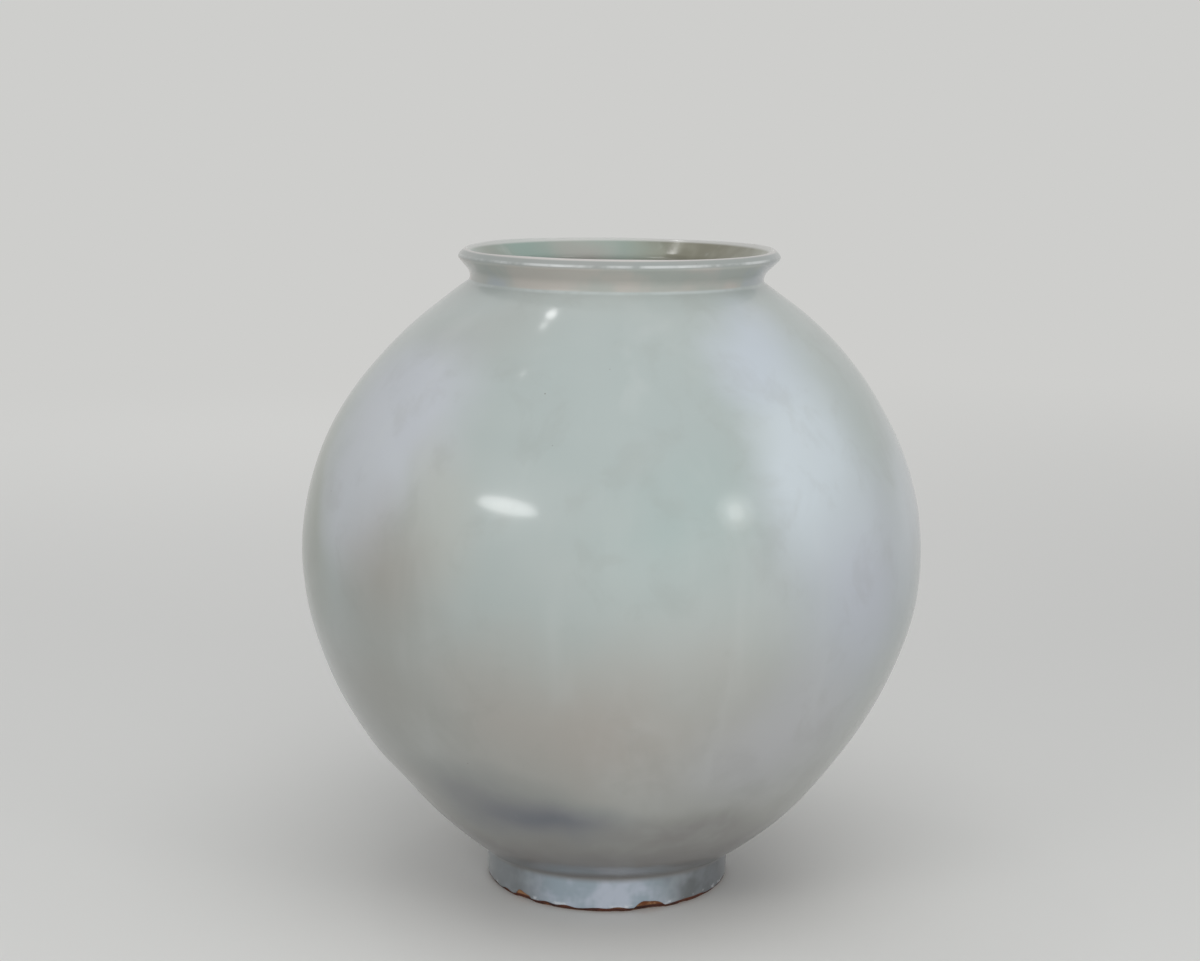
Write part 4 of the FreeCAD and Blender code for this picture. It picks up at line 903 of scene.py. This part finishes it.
def by_ray(tree, lit, shown):
    """One colour for the light that a surface gives, and another for how it shows."""
    mixed = tree.nodes.new("ShaderNodeMix")
    mixed.data_type = "RGBA"
    tree.links.new(seen_by_ray(tree), mixed.inputs[0])
    mixed.inputs[6].default_value = (*lit, 1)
    mixed.inputs[7].default_value = (*shown, 1)
    return mixed.outputs[2]


def make_world():
    world = bpy.data.worlds.new("studio")
    bpy.context.scene.world = world
    world.use_nodes = True
    tree = world.node_tree
    tree.links.new(by_ray(tree, WORLD_LIGHT, BACKDROP), tree.nodes["Background"].inputs["Color"])


def shader_mix(tree, factor, one, two):
    made = tree.nodes.new("ShaderNodeMixShader")
    for socket, source in zip(made.inputs, (factor, one, two)):
        tree.links.new(source, socket)
    return made.outputs[0]


def floor_look():
    """Pale, fading into the backdrop's own colour far out, and clear from below."""
    material = bpy.data.materials.new("floor_look")
    material.use_nodes = True
    tree = material.node_tree
    shader = tree.nodes["Principled BSDF"]
    shader.inputs["Roughness"].default_value = 0.9
    shader.inputs["Specular IOR Level"].default_value = 0.1
    tree.links.new(by_ray(tree, FLOOR_LIGHT, FLOOR_SHOWN), shader.inputs["Base Color"])
    glow = tree.nodes.new("ShaderNodeEmission")
    tree.links.new(by_ray(tree, FLOOR_LIGHT, BACKDROP), glow.inputs["Color"])
    length = tree.nodes.new("ShaderNodeVectorMath")
    length.operation = "LENGTH"
    tree.links.new(tree.nodes.new("ShaderNodeTexCoord").outputs["Object"], length.inputs[0])
    far = tree.nodes.new("ShaderNodeMapRange")
    far.interpolation_type = "SMOOTHSTEP"
    far.inputs["From Min"].default_value, far.inputs["From Max"].default_value = FADE_FROM, FADE_TO
    tree.links.new(length.outputs["Value"], far.inputs["Value"])
    blend = shader_mix(tree, far.outputs[0], shader.outputs[0], glow.outputs[0])
    clear = tree.nodes.new("ShaderNodeBsdfTransparent")
    facing = tree.nodes.new("ShaderNodeNewGeometry")
    both = shader_mix(tree, facing.outputs["Backfacing"], blend, clear.outputs[0])
    tree.links.new(both, tree.nodes["Material Output"].inputs["Surface"])
    return material


def make_floor():
    """A round floor that is open under the foot's hollow."""
    turns = np.linspace(0, 2 * math.pi, FLOOR_SIDES, endpoint=False)
    verts = [(r * math.cos(t), r * math.sin(t), 0) for r in (FLOOR_HOLE, FLOOR_REACH) for t in turns]
    faces = [(i, FLOOR_SIDES + i, FLOOR_SIDES + (i + 1) % FLOOR_SIDES, (i + 1) % FLOOR_SIDES)
             for i in range(FLOOR_SIDES)]
    mesh = bpy.data.meshes.new("floor")
    mesh.from_pydata(verts, [], faces)
    mesh.materials.append(floor_look())
    floor = bpy.data.objects.new("floor", mesh)
    bpy.context.scene.collection.objects.link(floor)


def make_lamp(name, place, aim, width, height, power, shape, mirrored):
    data = bpy.data.lights.new(name, "AREA")
    data.shape, data.size, data.size_y, data.energy = shape, width, height, power
    lamp = bpy.data.objects.new(name, data)
    lamp.location = place
    lamp.rotation_mode = "QUATERNION"
    lamp.rotation_quaternion = (Vector(aim) - Vector(place)).to_track_quat("-Z", "Y")
    lamp.visible_glossy = mirrored
    bpy.context.scene.collection.objects.link(lamp)


def make_lights():
    for name, values in SOFT_LAMPS.items():
        make_lamp(name, *values, shape="RECTANGLE", mirrored=False)
    for name, values in WINDOWS.items():
        make_lamp(name, *values, shape="ELLIPSE", mirrored=True)


porcelain = clay("porcelain_look", srgb(226, 222, 210), srgb(208, 203, 190))
slip = clay("slip_look", srgb(220, 214, 200), srgb(196, 190, 176))
outer_glaze()
inner_glaze()
foot_well_glaze()
upper_bowl(porcelain)
lower_bowl(porcelain)
belly_slip(slip)
neck_ring(porcelain)
slip_ring("neck_slip_seam", "neck_slip", CREASE[0] - GLAZE, THROAT_R + GLAZE, SEAT_Z, ROOT_Z, slip)
slip_ring("foot_slip_seam", "foot_slip", FOOT_OUT, FOOT_IN, FOOT_RING_H, BASE_Z, slip)
foot_ring()
make_camera()
make_world()
make_floor()
make_lights()
bpy.context.scene.view_settings.view_transform = "Standard"
